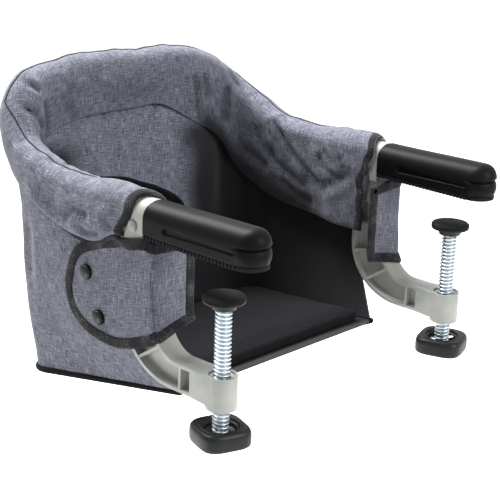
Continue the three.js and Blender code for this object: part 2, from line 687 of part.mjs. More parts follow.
// Rubber disc that presses on the table's underside, with an eased rim.
function padFace() {
  const top = -TABLE_THICKNESS;
  const bottom = top - PAD_FACE_HEIGHT;
  const profile = [
    [0, bottom],
    [PAD_DIAMETER / 2, bottom],
    [PAD_DIAMETER / 2, top - 1],
    [PAD_DIAMETER / 2 - 1, top],
    [0, top],
  ].map(([radius, z]) => new THREE.Vector2(radius, z));
  const disc = new THREE.LatheGeometry(profile, ROUND_STEPS);
  return disc.rotateX(Math.PI / 2).translate(ARM_X, SCREW_Y, 0);
}

function hingeBolt() {
  const seat = OUTER_FACE_X + CLEARANCE;
  const profile = [
    [0, INNER_FACE_X + 1],
    [BOLT_DIAMETER / 2, INNER_FACE_X + 1],
    [BOLT_DIAMETER / 2, seat],
    [BOLT_HEAD_DIAMETER / 2, seat],
    [BOLT_HEAD_DIAMETER / 2, seat + BOLT_HEAD_HEIGHT / 2],
    [BOLT_HEAD_DIAMETER / 3, seat + BOLT_HEAD_HEIGHT],
    [0, seat + BOLT_HEAD_HEIGHT],
  ].map(([radius, x]) => new THREE.Vector2(radius, x));
  const bolt = new THREE.LatheGeometry(profile, ROUND_STEPS);
  return bolt.rotateZ(-Math.PI / 2).translate(0, PIVOT_Y, PIVOT_Z);
}

function hingeNut() {
  const end = INNER_FACE_X + HINGE_NUT_HEIGHT;
  const hexagon = solid(rodAlongX(acrossCorners(HINGE_NUT_FLATS), INNER_FACE_X, end, PIVOT_Y, PIVOT_Z, 6));
  const bore = BOLT_DIAMETER + 2 * CLEARANCE;
  return geometryOf(hexagon.subtract(solid(rodAlongX(bore, INNER_FACE_X - 1, end + 1, PIVOT_Y, PIVOT_Z))));
}

// A slot that follows an arc round the pivot, with round ends.
function arcSlot(radius, halfWidth, from, to) {
  const slot = new THREE.Path();
  const at = (angle) => [PIVOT_Y + radius * Math.cos(angle), PIVOT_Z + radius * Math.sin(angle)];
  slot.absarc(PIVOT_Y, PIVOT_Z, radius + halfWidth, from, to, false);
  slot.absarc(...at(to), halfWidth, to, to + Math.PI, false);
  slot.absarc(PIVOT_Y, PIVOT_Z, radius - halfWidth, to, from, true);
  slot.absarc(...at(from), halfWidth, from + Math.PI, from + 2 * Math.PI, false);
  slot.closePath();
  return slot;
}

// Hinge tongue: a disc on the pivot and a tail that plugs into the tube's end.
function hingeTongue() {
  const tailBottom = TUBE_Z - TONGUE_TAIL_HEIGHT / 2;
  const tailTop = PIVOT_Z + TONGUE_RADIUS;
  const tailEnd = TUBE_FRONT_Y - CLEARANCE;
  const meet = Math.asin((tailBottom - PIVOT_Z) / TONGUE_RADIUS);
  const lockFrom = THREE.MathUtils.degToRad(LOCK_DEGREES);
  const lockTo = lockFrom + THREE.MathUtils.degToRad(FOLD_DEGREES);
  const plate = new THREE.Shape();
  plate.moveTo(tailEnd, tailBottom);
  plate.lineTo(tailEnd, tailTop);
  plate.lineTo(PIVOT_Y, tailTop);
  plate.absarc(PIVOT_Y, PIVOT_Z, TONGUE_RADIUS, Math.PI / 2, 2 * Math.PI + meet, false);
  plate.closePath();
  plate.holes.push(circle(PIVOT_Y, PIVOT_Z, BOLT_DIAMETER / 2 + CLEARANCE));
  plate.holes.push(arcSlot(LOCK_RADIUS, LOCK_PIN_DIAMETER / 2 + CLEARANCE, lockFrom, lockTo));
  const spigotRadius = (TUBE_DIAMETER / 2 - TUBE_WALL) * Math.cos(Math.PI / TUBE_SIDES) - CLEARANCE;
  const spigot = new THREE.CylinderGeometry(spigotRadius, spigotRadius, SPIGOT_LENGTH, ROUND_STEPS / 2);
  spigot.translate(ARM_X, tailEnd - 1 + SPIGOT_LENGTH / 2, TUBE_Z);
  return geometryOf(solid(slabAlongX(plate, TONGUE_THICKNESS, ARM_X, 7)).add(solid(spigot)));
}

function lockButton() {
  const [y, z] = lockPlace();
  const face = INNER_FACE_X - LOCK_BUTTON_PROUD;
  const pinEnd = OUTER_FACE_X - LOCK_END_WALL - CLEARANCE - LOCK_TRAVEL;
  const cap = solid(rodAlongX(LOCK_BUTTON_DIAMETER, face, face + LOCK_BUTTON_LENGTH, y, z));
  return geometryOf(cap.add(solid(rodAlongX(LOCK_PIN_DIAMETER, face + 1, pinEnd, y, z))));
}

class Helix extends THREE.Curve {
  constructor(start, end, y, z) {
    super();
    Object.assign(this, { start, end, y, z });
  }

  getPoint(t, target = new THREE.Vector3()) {
    const angle = 2 * Math.PI * SPRING_TURNS * t;
    return target.set(
      THREE.MathUtils.lerp(this.start, this.end, t),
      this.y + SPRING_RADIUS * Math.cos(angle),
      this.z + SPRING_RADIUS * Math.sin(angle),
    );
  }
}

// Return spring round the lock pin, between the button and the bottom of its pocket.
function lockSpring() {
  const [y, z] = lockPlace();
  const margin = SPRING_WIRE / 2 + CLEARANCE;
  const start = INNER_FACE_X - LOCK_BUTTON_PROUD + LOCK_BUTTON_LENGTH + margin;
  const end = INNER_FACE_X + LOCK_POCKET_DEPTH - margin;
  const helix = new Helix(start, end, y, z);
  const steps = SPRING_TURNS * SPRING_STEPS;
  const points = helix.getPoints(steps);
  const gaps = points.slice(SPRING_STEPS).map((point, i) => point.distanceTo(points[i]) - SPRING_WIRE);
  console.log("lock spring: least gap between turns " + Math.min(...gaps).toFixed(2) + " mm");
  const wire = new THREE.Shape();
  const sides = 5;
  for (let side = 0; side < sides; side++) {
    const angle = (2 * Math.PI * side) / sides;
    const corner = [(SPRING_WIRE / 2) * Math.cos(angle), (SPRING_WIRE / 2) * Math.sin(angle)];
    if (side === 0) wire.moveTo(...corner);
    else wire.lineTo(...corner);
  }
  wire.closePath();
  return new THREE.ExtrudeGeometry(wire, { steps, extrudePath: helix, bevelEnabled: false });
}

// Half of the hoop's centre line, from the tube's end at an arm to the middle of the back.
function hoopHalf(frontY) {
  const backZ = TUBE_Z + BACK_RISE;
  return [
    [ARM_X, frontY, TUBE_Z],
    [ARM_X, ARM_STRAIGHT_Y, TUBE_Z],
    [ARM_X - 1, ARM_STRAIGHT_Y + 40, TUBE_Z + 0.05 * BACK_RISE],
    [ARM_X - 4, HOOP_SHOULDER_Y, TUBE_Z + 0.225 * BACK_RISE],
    [(ARM_X + HOOP_CORNER_X) / 2 + 7, BACK_Y - 21, TUBE_Z + 0.48 * BACK_RISE],
    [HOOP_CORNER_X, BACK_Y - 5, TUBE_Z + 0.8 * BACK_RISE],
    [HOOP_CORNER_X - 44, BACK_Y - 1, backZ - 2],
    [0, BACK_Y, backZ],
  ].map((point) => new THREE.Vector3(...point));
}

function hoopCurve(frontY) {
  const half = hoopHalf(frontY);
  const mirrored = half
    .slice(0, -1)
    .reverse()
    .map((point) => new THREE.Vector3(-point.x, point.y, point.z));
  return new THREE.CatmullRomCurve3([...half, ...mirrored], false, "centripetal");
}

function backHoop() {
  const ring = circle(0, 0, TUBE_DIAMETER / 2);
  ring.holes.push(new THREE.Path().absarc(0, 0, TUBE_DIAMETER / 2 - TUBE_WALL, 0, 2 * Math.PI, false));
  return new THREE.ExtrudeGeometry(ring, {
    steps: 36,
    curveSegments: TUBE_SIDES / 2,
    extrudePath: hoopCurve(TUBE_FRONT_Y),
    bevelEnabled: false,
  });
}

// The hoop's place at a share of its length, with the level direction that points out of the seat.
// Where the tube climbs, an upright section of it is taller by `lift`.
function hoopFrame(curve, share) {
  const centre = curve.getPointAt(share);
  const along = curve.getTangentAt(share);
  const out = new THREE.Vector3(along.y, -along.x, 0).normalize();
  const lift = 1 / Math.hypot(along.x, along.y);
  return { centre, out, lift };
}

// Height of the sleeve's outer hem: it drops along the arm and climbs again towards the back.
function outerHem(y) {
  const drop = (OUTER_HEM_ARM_Z - OUTER_HEM_FRONT_Z) * smoothstep(SLEEVE_FRONT_Y, ARM_STRAIGHT_Y - 30, y);
  const climb = (OUTER_HEM_SHOULDER_Z - OUTER_HEM_ARM_Z) * smoothstep(ARM_STRAIGHT_Y - 10, HOOP_SHOULDER_Y, y);
  const back = (OUTER_HEM_BACK_Z - OUTER_HEM_SHOULDER_Z) * smoothstep(HOOP_SHOULDER_Y, BACK_Y, y);
  return OUTER_HEM_FRONT_Z + drop + climb + back;
}

function sleeveCrest(toBack, atBack) {
  const arm = THREE.MathUtils.lerp(SLEEVE_FRONT_CREST, SLEEVE_ARM_CREST, toBack);
  return THREE.MathUtils.lerp(arm, SLEEVE_BACK_CREST, atBack);
}

// One section of the sleeve: an arch over the tube whose two legs hang outside and inside. Along the arms the
// inner leg is the seat's lining, which slants out to the wall.
function sleeveSection(y, z = TUBE_Z, lift = 1) {
  const toBack = smoothstep(SLEEVE_FRONT_Y + 20, ARM_STRAIGHT_Y, y);
  const atBack = smoothstep(HOOP_SHOULDER_Y, BACK_Y - 4, y);
  const innerHalf = THREE.MathUtils.lerp(SLEEVE_FRONT_WIDTH, SLEEVE_BACK_WIDTH, toBack);
  const innerTop = THREE.MathUtils.lerp(SLEEVE_FRONT_TOP, SLEEVE_BACK_TOP, toBack);
  const outerHalf = innerHalf + SLEEVE_PADDING;
  const crest = lift * sleeveCrest(toBack, atBack);
  const outerHang = z - outerHem(y);
  const innerHang = THREE.MathUtils.lerp(INNER_HANG_ARM, INNER_HANG_BACK, atBack);
  const spread = smoothstep(SPINE_REAR_Y + TUBE_DIAMETER, ARM_STRAIGHT_Y, y) * (1 - atBack);
  const innerHem = THREE.MathUtils.lerp(outerHalf, INNER_HEM_OFFSET, spread);
  const arch = [0, 1, 2, 3, 4, 5, 6].map((step) => (step * Math.PI) / 6);
  const outer = arch.map((angle) => [outerHalf * Math.cos(angle), crest * Math.sin(angle)]);
  const inner = arch.map((angle) => [innerHalf * Math.cos(angle), lift * innerTop * Math.sin(angle)]);
  const outline = [
    [outerHalf, -outerHang],
    ...outer,
    [-innerHem, -innerHang],
    [SLEEVE_PADDING - innerHem, -innerHang],
    ...inner.reverse(),
    [innerHalf, -outerHang],
  ];
  return outline.map(([out, up]) => new THREE.Vector2(out, up));
}

function rimSleeve() {
  const curve = hoopCurve(SLEEVE_FRONT_Y);
  const stations = 42;
  const rings = [];
  for (let station = 0; station <= stations; station++) {
    const { centre, out, lift } = hoopFrame(curve, station / stations);
    const slant = SLEEVE_END_SLANT * (1 - smoothstep(SLEEVE_FRONT_Y, TUBE_FRONT_Y + 20, centre.y));
    const reach = SLEEVE_FRONT_WIDTH + SLEEVE_PADDING;
    rings.push(
      sleeveSection(centre.y, centre.z, lift).map(({ x, y }) => {
        const forward = (slant * x) / reach;
        return new THREE.Vector3(centre.x + out.x * x, centre.y + out.y * x + forward, centre.z + y);
      }),
    );
  }
  return loft(rings, sleeveSection(SLEEVE_FRONT_Y));
}

function baseZ(y) {
  return BASE_FRONT_Z - BASE_TILT * (y - BASE_FRONT_Y);
}

// Half of the base's edge from above, from a front corner to the middle of the back.
function baseEdge(inset) {
  const rearHalf = BASE_REAR_HALF - inset;
  const rear = BASE_REAR_Y - inset;
  const corner = BASE_CORNER - inset;
  const edge = new THREE.Path();
  edge.moveTo(BASE_FRONT_HALF - inset, BASE_FRONT_Y);
  edge.lineTo(rearHalf, rear - corner);
  edge.absarc(rearHalf - corner, rear - corner, corner, 0, Math.PI / 2, false);
  edge.lineTo(0, rear);
  return edge;
}

const WALL_EDGE = baseEdge(0);
const WALL_TOP = hoopCurve(WALL_FRONT_Y);

// The walls hang from the hoop's outside to the base's edge; `inset` steps in from the outer face.
function wallPoint(share, height, inset) {
  const { centre, out } = hoopFrame(WALL_TOP, share / 2);
  const edge = WALL_EDGE.getPointAt(share);
  const edgeAlong = WALL_EDGE.getTangentAt(share);
  const standoff = TUBE_DIAMETER / 2 + WALL_STANDOFF + WALL_THICKNESS - inset;
  const tuck = THREE.MathUtils.lerp(4, 1.3, smoothstep(0.15, 0.6, share));
  const reach = 1 - Math.pow(1 - height, tuck);
  const low = new THREE.Vector2(edge.x - edgeAlong.y * inset, edge.y + edgeAlong.x * inset);
  const high = new THREE.Vector2(centre.x + out.x * standoff, centre.y + out.y * standoff);
  const place = low.lerp(high, reach);
  const folds = smoothstep(0.3, 0.5, height) * (1 - smoothstep(0.62, 0.78, height));
  const wave = FOLD_DEPTH * folds * smoothstep(0.3, 0.45, share) * Math.sin(2 * Math.PI * (9 * share + 1.5 * height));
  const z = THREE.MathUtils.lerp(baseZ(edge.y), centre.z, height);
  return new THREE.Vector3(place.x + out.x * wave, place.y + out.y * wave, z);
}

// A stretch of the wall as a sheet; shares above 1 run on past the middle of the back to the other side.
function wallSheet(from, to, columns, rows, thickness) {
  const point = (share, height, inset) => {
    const made = wallPoint(share > 1 ? 2 - share : share, height, inset);
    return share > 1 ? new THREE.Vector3(-made.x, made.y, made.z) : made;
  };
  const grid = (inset) =>
    Array.from({ length: rows + 1 }, (_, row) =>
      Array.from({ length: columns + 1 }, (_, column) => {
        const share = THREE.MathUtils.lerp(from, to, column / columns);
        return point(share, row / rows, inset(share, row / rows));
      }),
    );
  return sheet(grid(() => 0), grid(thickness));
}

const CORNER_SHARE = 0.56;
const SEAM_SHARE = 0.0012;

function sidePanel() {
  return wallSheet(0, CORNER_SHARE - SEAM_SHARE, 14, 10, () => WALL_THICKNESS);
}

// The back is padded towards the seat, most at the height of the sitter's shoulders.
function backPanel() {
  const thickness = (share, height) => {
    const across = smoothstep(CORNER_SHARE, CORNER_SHARE + 0.16, share > 1 ? 2 - share : share);
    const up = (1 - Math.pow(1 - height, 2.2)) * (1 - smoothstep(0.8, 0.9, height));
    return WALL_THICKNESS + BACK_PADDING * across * up;
  };
  return wallSheet(CORNER_SHARE + SEAM_SHARE, 2 - CORNER_SHARE - SEAM_SHARE, 22, 14, thickness);
}

// The wall's outer face at a height and a depth, found on a fine grid of its own points.
function wallFaceX(y, z) {
  let nearest = { gap: Infinity, x: 0 };
  for (let i = 0; i <= 80; i++) {
    for (let j = 0; j <= 80; j++) {
      const point = wallPoint((0.5 * i) / 80, j / 80, 0);
      const gap = Math.hypot(point.y - y, point.z - z);
      if (gap < nearest.gap) nearest = { gap, x: point.x };
    }
  }
  return nearest.x;
}

function flapOutline() {
  const shape = new THREE.Shape();
  const front = SPINE_FRONT_Y - CLEARANCE - FLAP_THICKNESS;
  const rear = FLAP_REACH - front;
  const rise = FLAP_TOP - FLAP_TIP_Z;
  const fall = FLAP_TIP_Z - FLAP_BOTTOM;
  const edge = [
    [front + 0.27 * rear, FLAP_TOP - 0.02 * rise],
    [front + 0.6 * rear, FLAP_TOP - 0.2 * rise],
    [front + 0.885 * rear, FLAP_TOP - 0.49 * rise],
    [FLAP_REACH, FLAP_TIP_Z],
    [front + 0.885 * rear, FLAP_TIP_Z - 0.73 * fall],
    [front + 0.63 * rear, FLAP_BOTTOM],
    [front + 0.31 * rear, FLAP_BOTTOM + 0.09 * fall],
    flapBend(CLEARANCE + FLAP_THICKNESS, FLAP_FRONT_BOTTOM),
  ].map(([y, z]) => new THREE.Vector2(y, z));
  shape.moveTo(front, FLAP_TOP);
  shape.splineThru(edge);
  shape.lineTo(front, JAW_TOP + INNER_BEND_Z);
  shape.closePath();
  return shape;
}

// A point in front of the spine, at a distance from its face, that follows the bend towards the jaw.
function flapBend(distance, z) {
  const drop = (z - JAW_TOP - INNER_BEND_Z) / (INNER_BEND_Z - distance);
  const bend = Math.sqrt(1 - Math.min(drop, 0) ** 2);
  return [SPINE_FRONT_Y - INNER_BEND_Y + (INNER_BEND_Y - distance) * bend, z];
}

// The strip of cloth in front of the spine, drawn from the side.
function flapTurn() {
  const levels = [0, 0.25, 0.5, 0.75, 1].map((share) =>
    THREE.MathUtils.lerp(JAW_TOP + INNER_BEND_Z, FLAP_FRONT_BOTTOM, share),
  );
  const near = [FLAP_TOP, ...levels].map((z) => flapBend(CLEARANCE, z));
  const far = [FLAP_TOP, ...levels].map((z) => flapBend(CLEARANCE + FLAP_THICKNESS, z));
  return new THREE.Shape([...near, ...far.reverse()].map(([y, z]) => new THREE.Vector2(y, z)));
}

// The flap lies on the spine's outer side and turns round its front towards the seat's middle.
function flap() {
  const outerX = FLAP_INNER_X + FLAP_THICKNESS;
  const turn = new THREE.Shape();
  turn.moveTo(FLAP_RETURN_HALF, FLAP_TOP);
  turn.lineTo(outerX, FLAP_TOP);
  turn.lineTo(outerX, FLAP_FRONT_BOTTOM);
  turn.lineTo(FLAP_RETURN_HALF, FLAP_FRONT_BOTTOM + FLAP_RETURN_RISE);
  turn.closePath();
  let cloth = solid(slabAlongX(flapOutline(), FLAP_THICKNESS, FLAP_INNER_X + FLAP_THICKNESS / 2, 6));
  const strip = solid(slabAlongX(flapTurn(), outerX - FLAP_RETURN_HALF, (outerX + FLAP_RETURN_HALF) / 2));
  cloth = cloth.add(strip.intersect(solid(slabAlongY(turn, SPINE_FRONT_Y - INNER_BEND_Y, SPINE_FRONT_Y))));
  for (const [y, z] of Object.values(SNAP_PLACES)) {
    const hole = SNAP_POST_DIAMETER + 2 * CLEARANCE;
    cloth = cloth.subtract(solid(rodAlongX(hole, FLAP_INNER_X - 1, outerX + 1, y, z, ROUND_STEPS / 2)));
  }
  return geometryOf(cloth);
}

// Domed snap cap on the flap, with its post through to the wall behind.
function snapCap([y, z]) {
  const seat = FLAP_INNER_X + FLAP_THICKNESS + CLEARANCE;
  const end = Math.min(wallFaceX(y, z) + 2 * CLEARANCE, FLAP_INNER_X);
  const radius = SNAP_DIAMETER / 2;
  const profile = [
    [0, end],
    [SNAP_POST_DIAMETER / 2, end],
    [SNAP_POST_DIAMETER / 2, seat],
    [radius, seat],
    [radius, seat + SNAP_HEIGHT / 3],
    [0.8 * radius, seat + 0.78 * SNAP_HEIGHT],
    [0.45 * radius, seat + 0.96 * SNAP_HEIGHT],
    [0, seat + SNAP_HEIGHT],
  ].map(([r, x]) => new THREE.Vector2(r, x));
  const cap = new THREE.LatheGeometry(profile, ROUND_STEPS * 0.75);
  return cap.rotateZ(-Math.PI / 2).translate(0, y, z);
}

// Points of the base's whole edge, inset, from one front corner round the back to the other.
function baseOutline(inset) {
  const half = baseEdge(inset).getSpacedPoints(18);
  const other = half
    .slice(0, -1)
    .reverse()
    .map((point) => new THREE.Vector2(-point.x, point.y));
  return [...half, ...other];
}

// Stiffening board under the seat pad, tilted with the base.
function seatBoard() {
  const outline = baseOutline(WALL_THICKNESS + BOARD_FIT);
  const ring = (rise) => outline.map((point) => new THREE.Vector3(point.x, point.y, baseZ(point.y) + rise));
  return loft([ring(0), ring(BOARD_THICKNESS)], outline);
}

// Seat cushion: flat under, drawn in along its sides and crowned on top.
function seatPad() {
  const bottom = BOARD_THICKNESS + CLEARANCE;
  const levels = [
    [3, 0],
    [0.6, 0.28],
    [0.6, 0.62],
    [4, 0.9],
    [16, 1],
  ];
  const fit = WALL_THICKNESS + BOARD_FIT;
  const rings = levels.map(([inset, share]) =>
    baseOutline(fit + inset).map((point) => {
      const front = BASE_FRONT_Y + inset;
      const y = Math.max(point.y, front);
      return new THREE.Vector3(point.x, y, baseZ(y) + bottom + share * PAD_THICKNESS);
    }),
  );
  const top = rings.at(-1);
  const middle = top.reduce((sum, point) => sum.add(point), new THREE.Vector3()).divideScalar(top.length);
  const crown = top.map((point) => {
    const raised = point.clone().lerp(new THREE.Vector3(0, middle.y, 0), 0.45);
    raised.z = baseZ(raised.y) + bottom + PAD_THICKNESS + PAD_CROWN;
    return raised;
  });
  return loft([...rings, crown], crown.map((point) => new THREE.Vector2(point.x, point.y)));
}

const SIDE_PIECES = [
  ["clamp_bracket", clampBracket(), MATERIALS.bracket],
  ["arm_grip", armGrip(), MATERIALS.grip],
  ["grip_sole", gripSole(), MATERIALS.rubber],
  ["clamp_screw", clampScrew(), MATERIALS.zinc],
  ["screw_nut", screwNut(), MATERIALS.zinc],
  ["clamp_knob", clampKnob(), MATERIALS.knob],
  ["knob_pin", knobPin(), MATERIALS.zinc],
  ["pressure_pad", pressurePad(), MATERIALS.bracket],
  ["pad_face", padFace(), MATERIALS.rubber],
  ["hinge_bolt", hingeBolt(), MATERIALS.zinc],
  ["hinge_nut", hingeNut(), MATERIALS.zinc],
  ["hinge_tongue", hingeTongue(), MATERIALS.steel],
  ["lock_button", lockButton(), MATERIALS.button],
  ["lock_spring", lockSpring(), MATERIALS.steel],
  ["side_panel", sidePanel(), MATERIALS.fabric],
  ["flap", flap(), MATERIALS.fabric],
  ["snap_upper", snapCap(SNAP_PLACES.upper), MATERIALS.snap],
  ["snap_lower", snapCap(SNAP_PLACES.lower), MATERIALS.snap],
];

const SHARED_PIECES = [
  ["back_hoop", backHoop(), MATERIALS.steel],
  ["rim_sleeve", rimSleeve(), MATERIALS.fabric],
  ["back_panel", backPanel(), MATERIALS.fabric],
  ["seat_board", seatBoard(), MATERIALS.board],
  ["seat_pad", seatPad(), MATERIALS.lining],
];

function named(name, geometry, material) {
  const mesh = new THREE.Mesh(geometry, material);
  mesh.name = name;
  return mesh;
}

const chair = new THREE.Group();
for (const [side, mirror] of [
  ["left", 1],
  ["right", -1],
]) {
  const arm = new THREE.Group();
  arm.scale.x = mirror;
  for (const [name, geometry, material] of SIDE_PIECES) arm.add(named(name + "_" + side, geometry, material));
  chair.add(arm);
}
for (const [name, geometry, material] of SHARED_PIECES) chair.add(named(name, geometry, material));

export default chair;
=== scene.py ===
import bpy
import numpy as np
from mathutils import Matrix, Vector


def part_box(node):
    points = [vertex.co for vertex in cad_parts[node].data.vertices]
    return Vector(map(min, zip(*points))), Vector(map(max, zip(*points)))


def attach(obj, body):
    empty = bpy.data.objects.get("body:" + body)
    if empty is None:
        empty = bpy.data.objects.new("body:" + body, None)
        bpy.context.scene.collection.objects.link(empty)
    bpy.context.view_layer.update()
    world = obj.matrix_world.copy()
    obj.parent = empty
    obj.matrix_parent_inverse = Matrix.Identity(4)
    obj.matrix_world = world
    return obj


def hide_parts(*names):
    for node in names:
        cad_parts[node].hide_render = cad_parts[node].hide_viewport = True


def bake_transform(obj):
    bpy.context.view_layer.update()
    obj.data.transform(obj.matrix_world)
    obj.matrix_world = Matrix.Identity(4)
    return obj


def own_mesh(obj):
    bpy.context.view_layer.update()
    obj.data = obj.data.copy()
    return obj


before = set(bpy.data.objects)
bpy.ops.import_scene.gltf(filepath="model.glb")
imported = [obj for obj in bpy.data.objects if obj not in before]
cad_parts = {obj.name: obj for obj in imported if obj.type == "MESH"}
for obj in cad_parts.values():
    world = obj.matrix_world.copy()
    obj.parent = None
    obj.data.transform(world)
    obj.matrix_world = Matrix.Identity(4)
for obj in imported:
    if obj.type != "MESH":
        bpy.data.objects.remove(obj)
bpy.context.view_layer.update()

# Sizes in millimetres, shared with the solids
MM = 0.001
TUBE_RADIUS = 8.0
SLEEVE_FRONT_Y = 26.0
HOOP_HALF = [
    (170, SLEEVE_FRONT_Y, 23.5), (170, 125, 23.5), (169, 165, 27.5), (166, 205, 41.5),
    (155.5, 236, 61.9), (127, 252, 87.5), (83, 256, 101.5), (0, 257, 103.5),
]
SLEEVE_PADDING = 4.4
SLEEVE_FRONT_HALF = 18.2
SLEEVE_ARM_HALF = 13.5
SLEEVE_CRESTS = (17.5, 12.8, 19.5)
SLEEVE_SLANT = (7.5, 4.5, 11.0)
WALL_THICKNESS = 3.0
WALL_STANDOFF = 1.3
WALL_FRONT_Y = 56.0
CORNER_SHARE = 0.56
BACK_PADDING = 16.0
BASE_FRONT = (146.0, 2.0)
BASE_REAR_HALF = 169.0
BASE_REAR_Y = 213.0
BASE_CORNER = 32.0
BASE_FRONT_Z = -164.0
BASE_TILT = 0.146
SPINE_FRONT_Y = 3.5
INNER_BEND = (32.0, 37.0)
JAW_TOP = -112.0
NECK_BOTTOM = -6.0
FLAP_FACE_X = 184.8
FLAP_THICKNESS = 2.2
FLAP_RETURN_HALF = 132.0
ARM_X = 170.0
GRIP_HALF = 19.0
GRIP_REAR_Y = 12.4
GRIP_NOSE_Y = -126.0
GRIP_BOTTOM = 4.3
GRIP_SHOULDER = 17.0
GRIP_HEIGHTS = (34.0, 36.5)
NOSE_ROUND = 15.0
SLOT_Z = 14.0
SLOT_SPAN = (-106.0, -15.0)
SCREW_Y = -76.5
SCREW_SPAN = (-175.7, -42.3)
SCREW_RADIUS = 8.0
THREAD_PITCH = 4.0
THREAD_DEPTH = 1.7

# Sizes in millimetres of the visible pieces alone
SLOT_HALF = (1.4, 3.2)
SLOT_DEPTH = 2.2
GROOVE_Z = 20.0
BAR_Z = 18.0
BOARD_TOP = 4.3
PAD_BOTTOM = 4.6
PAD_MIDDLE = np.array([0.0, 108.0])
PAD_SIDE = 14
ARM_TAPER = (52, 125)
REAR_TURN = (205, 253)
REAR_CORNER = (156, 237)


def smoothstep(start, end, value):
    """0 before start, 1 after end, and 3t^2 - 2t^3 between them."""
    t = np.clip((value - start) / (end - start), 0, 1)
    return t * t * (3 - 2 * t)


def between(rise, fall, value):
    """A window: a smoothstep up over the span rise and down again over the span fall."""
    return smoothstep(*rise, value) * (1 - smoothstep(*fall, value))


def bell(value, middle, width):
    """e^(-((value - middle) / width)^2), which is 1 at the middle."""
    return np.exp(-(((value - middle) / width) ** 2))


def lerp(a, b, t):
    """a at t = 0 and b at t = 1, along a straight line."""
    return a + (b - a) * t


def unit(vectors):
    """Vectors of length 1."""
    return vectors / np.maximum(np.linalg.norm(vectors, axis=-1, keepdims=True), 1e-9)


def travelled(line):
    """Distance along a broken line at each of its points."""
    return np.concatenate([[0], np.cumsum(np.linalg.norm(np.diff(line, axis=0), axis=1))])


def sample(at, known, rows):
    """Rows of an array at places between the known ones, along straight lines."""
    return np.stack([np.interp(at, known, axis) for axis in rows.T], -1)


def spaced(curve, count):
    """Points the same distance apart along a broken line."""
    length = travelled(curve)
    return sample(np.linspace(0, length[-1], count), length, curve)


def smooth_path(points, count, steps=60):
    """A curve through points: each span is a cubic whose end slopes come from the chords beside it, weighed by
    the square root of the chord's length. The result is spaced evenly along its own length."""
    p = np.asarray(points, float)
    p = np.vstack([2 * p[0] - p[1], p, 2 * p[-1] - p[-2]])
    chord = np.sqrt(np.linalg.norm(np.diff(p, axis=0), axis=1))[:, None]
    before, here, after = chord[:-2], chord[1:-1], chord[2:]
    a, b, c, d = p[:-3], p[1:-2], p[2:-1], p[3:]
    leave = here * ((b - a) / before - (c - a) / (before + here) + (c - b) / here)
    arrive = here * ((c - b) / here - (d - b) / (here + after) + (d - c) / after)
    b, c, leave, arrive = (value[:, None, :] for value in (b, c, leave, arrive))
    t = np.linspace(0, 1, steps, endpoint=False)[None, :, None]
    curve = b + t * leave + t**2 * (3 * (c - b) - 2 * leave - arrive) + t**3 * (2 * (b - c) + leave + arrive)
    return spaced(np.vstack([curve.reshape(-1, p.shape[1]), p[-2]]), count)


def mirrored(points):
    """The same points on the other side of the middle plane."""
    return points * np.array([-1.0, 1.0, 1.0])[: points.shape[-1]]


def both_sides(half):
    """A line from the left to the middle plane, carried on along its mirror image."""
    return np.vstack([half, mirrored(half[-2::-1])])


def ring(count):
    """Angles of a full turn, the same distance apart."""
    return np.linspace(0, 2 * np.pi, count, endpoint=False)


def rounded(angle, power):
    """Cosine and sine to the power of 2 / power, with their signs kept: a circle at 2, and squarer above."""
    return [np.sign(f(angle)) * np.abs(f(angle)) ** (2 / power) for f in (np.cos, np.sin)]


def ripple(a, b, seed, waves=7):
    """Gentle unevenness between about -1 and 1: a sum of sine waves in a and b with seeded slopes and phases."""
    draw = np.random.default_rng(seed)
    slope = draw.uniform(-1, 1, (waves, 2))
    phase = draw.uniform(0, 2 * np.pi, waves)
    angle = a[..., None] * slope[:, 0] + b[..., None] * slope[:, 1]
    return np.sin(2 * np.pi * angle + phase).sum(-1) / np.sqrt(waves)


def line_distance(points, line):
    """Distance from every point of a grid to the nearest point of a broken line."""
    nearest = np.full(points.shape[:-1], np.inf)
    for a, b in zip(line[:-1], line[1:]):
        run = b - a
        t = np.clip(((points - a) @ run) / (run @ run), 0, 1)
        nearest = np.minimum(nearest, np.linalg.norm(points - a - t[..., None] * run, axis=-1))
    return nearest


def creases(points, lines, ridge=0.35, darkest=4):
    """Depth of pressed-in folds on a grid of flat points: for each line, depth times a bell of the distance over
    the width, less a lower ridge two widths away on both sides. Also how deep in a fold each point is, 0 to 1."""
    depth = np.zeros(points.shape[:-1])
    shade = np.zeros(points.shape[:-1])
    for deep, width, line in lines:
        gap = line_distance(points, smooth_path(line, 14))
        pressed = bell(gap, 0, width)
        depth += deep * pressed - ridge * deep * bell(gap, 2 * width, width)
        shade = np.maximum(shade, pressed * min(1, deep / darkest))
    return depth, shade


def grid_normals(grid):
    """Unit normals of a grid: the cross product of its slopes along the rows and along the columns."""
    return unit(np.cross(np.gradient(grid, axis=0), np.gradient(grid, axis=1)))


def linear(code):
    """An sRGB hex colour as linear red, green, blue and 1."""
    value = np.array([int(code[i : i + 2], 16) for i in (1, 3, 5)]) / 255
    value = np.where(value <= 0.04045, value / 12.92, ((value + 0.055) / 1.055) ** 2.4)
    return (*value.tolist(), 1.0)


def plug(tree, node, inputs):
    """Gives each socket of a node a constant or the output that feeds it."""
    for key, value in inputs.items():
        if isinstance(value, bpy.types.NodeSocket):
            tree.links.new(value, node.inputs[key])
        else:
            node.inputs[key].default_value = value


def add(tree, kind, inputs=None, **settings):
    """Adds a shader node with its settings and its inputs."""
    made = tree.nodes.new("ShaderNode" + kind)
    for key, value in settings.items():
        setattr(made, key, value)
    plug(tree, made, inputs or {})
    return made


def finish(name, constants):
    """A new material: returns it with its node tree and its main shader, whose sockets get the constants."""
    made = bpy.data.materials.new(name)
    made.use_nodes = True
    tree = made.node_tree
    shader = tree.nodes["Principled BSDF"]
    plug(tree, shader, constants)
    return made, tree, shader


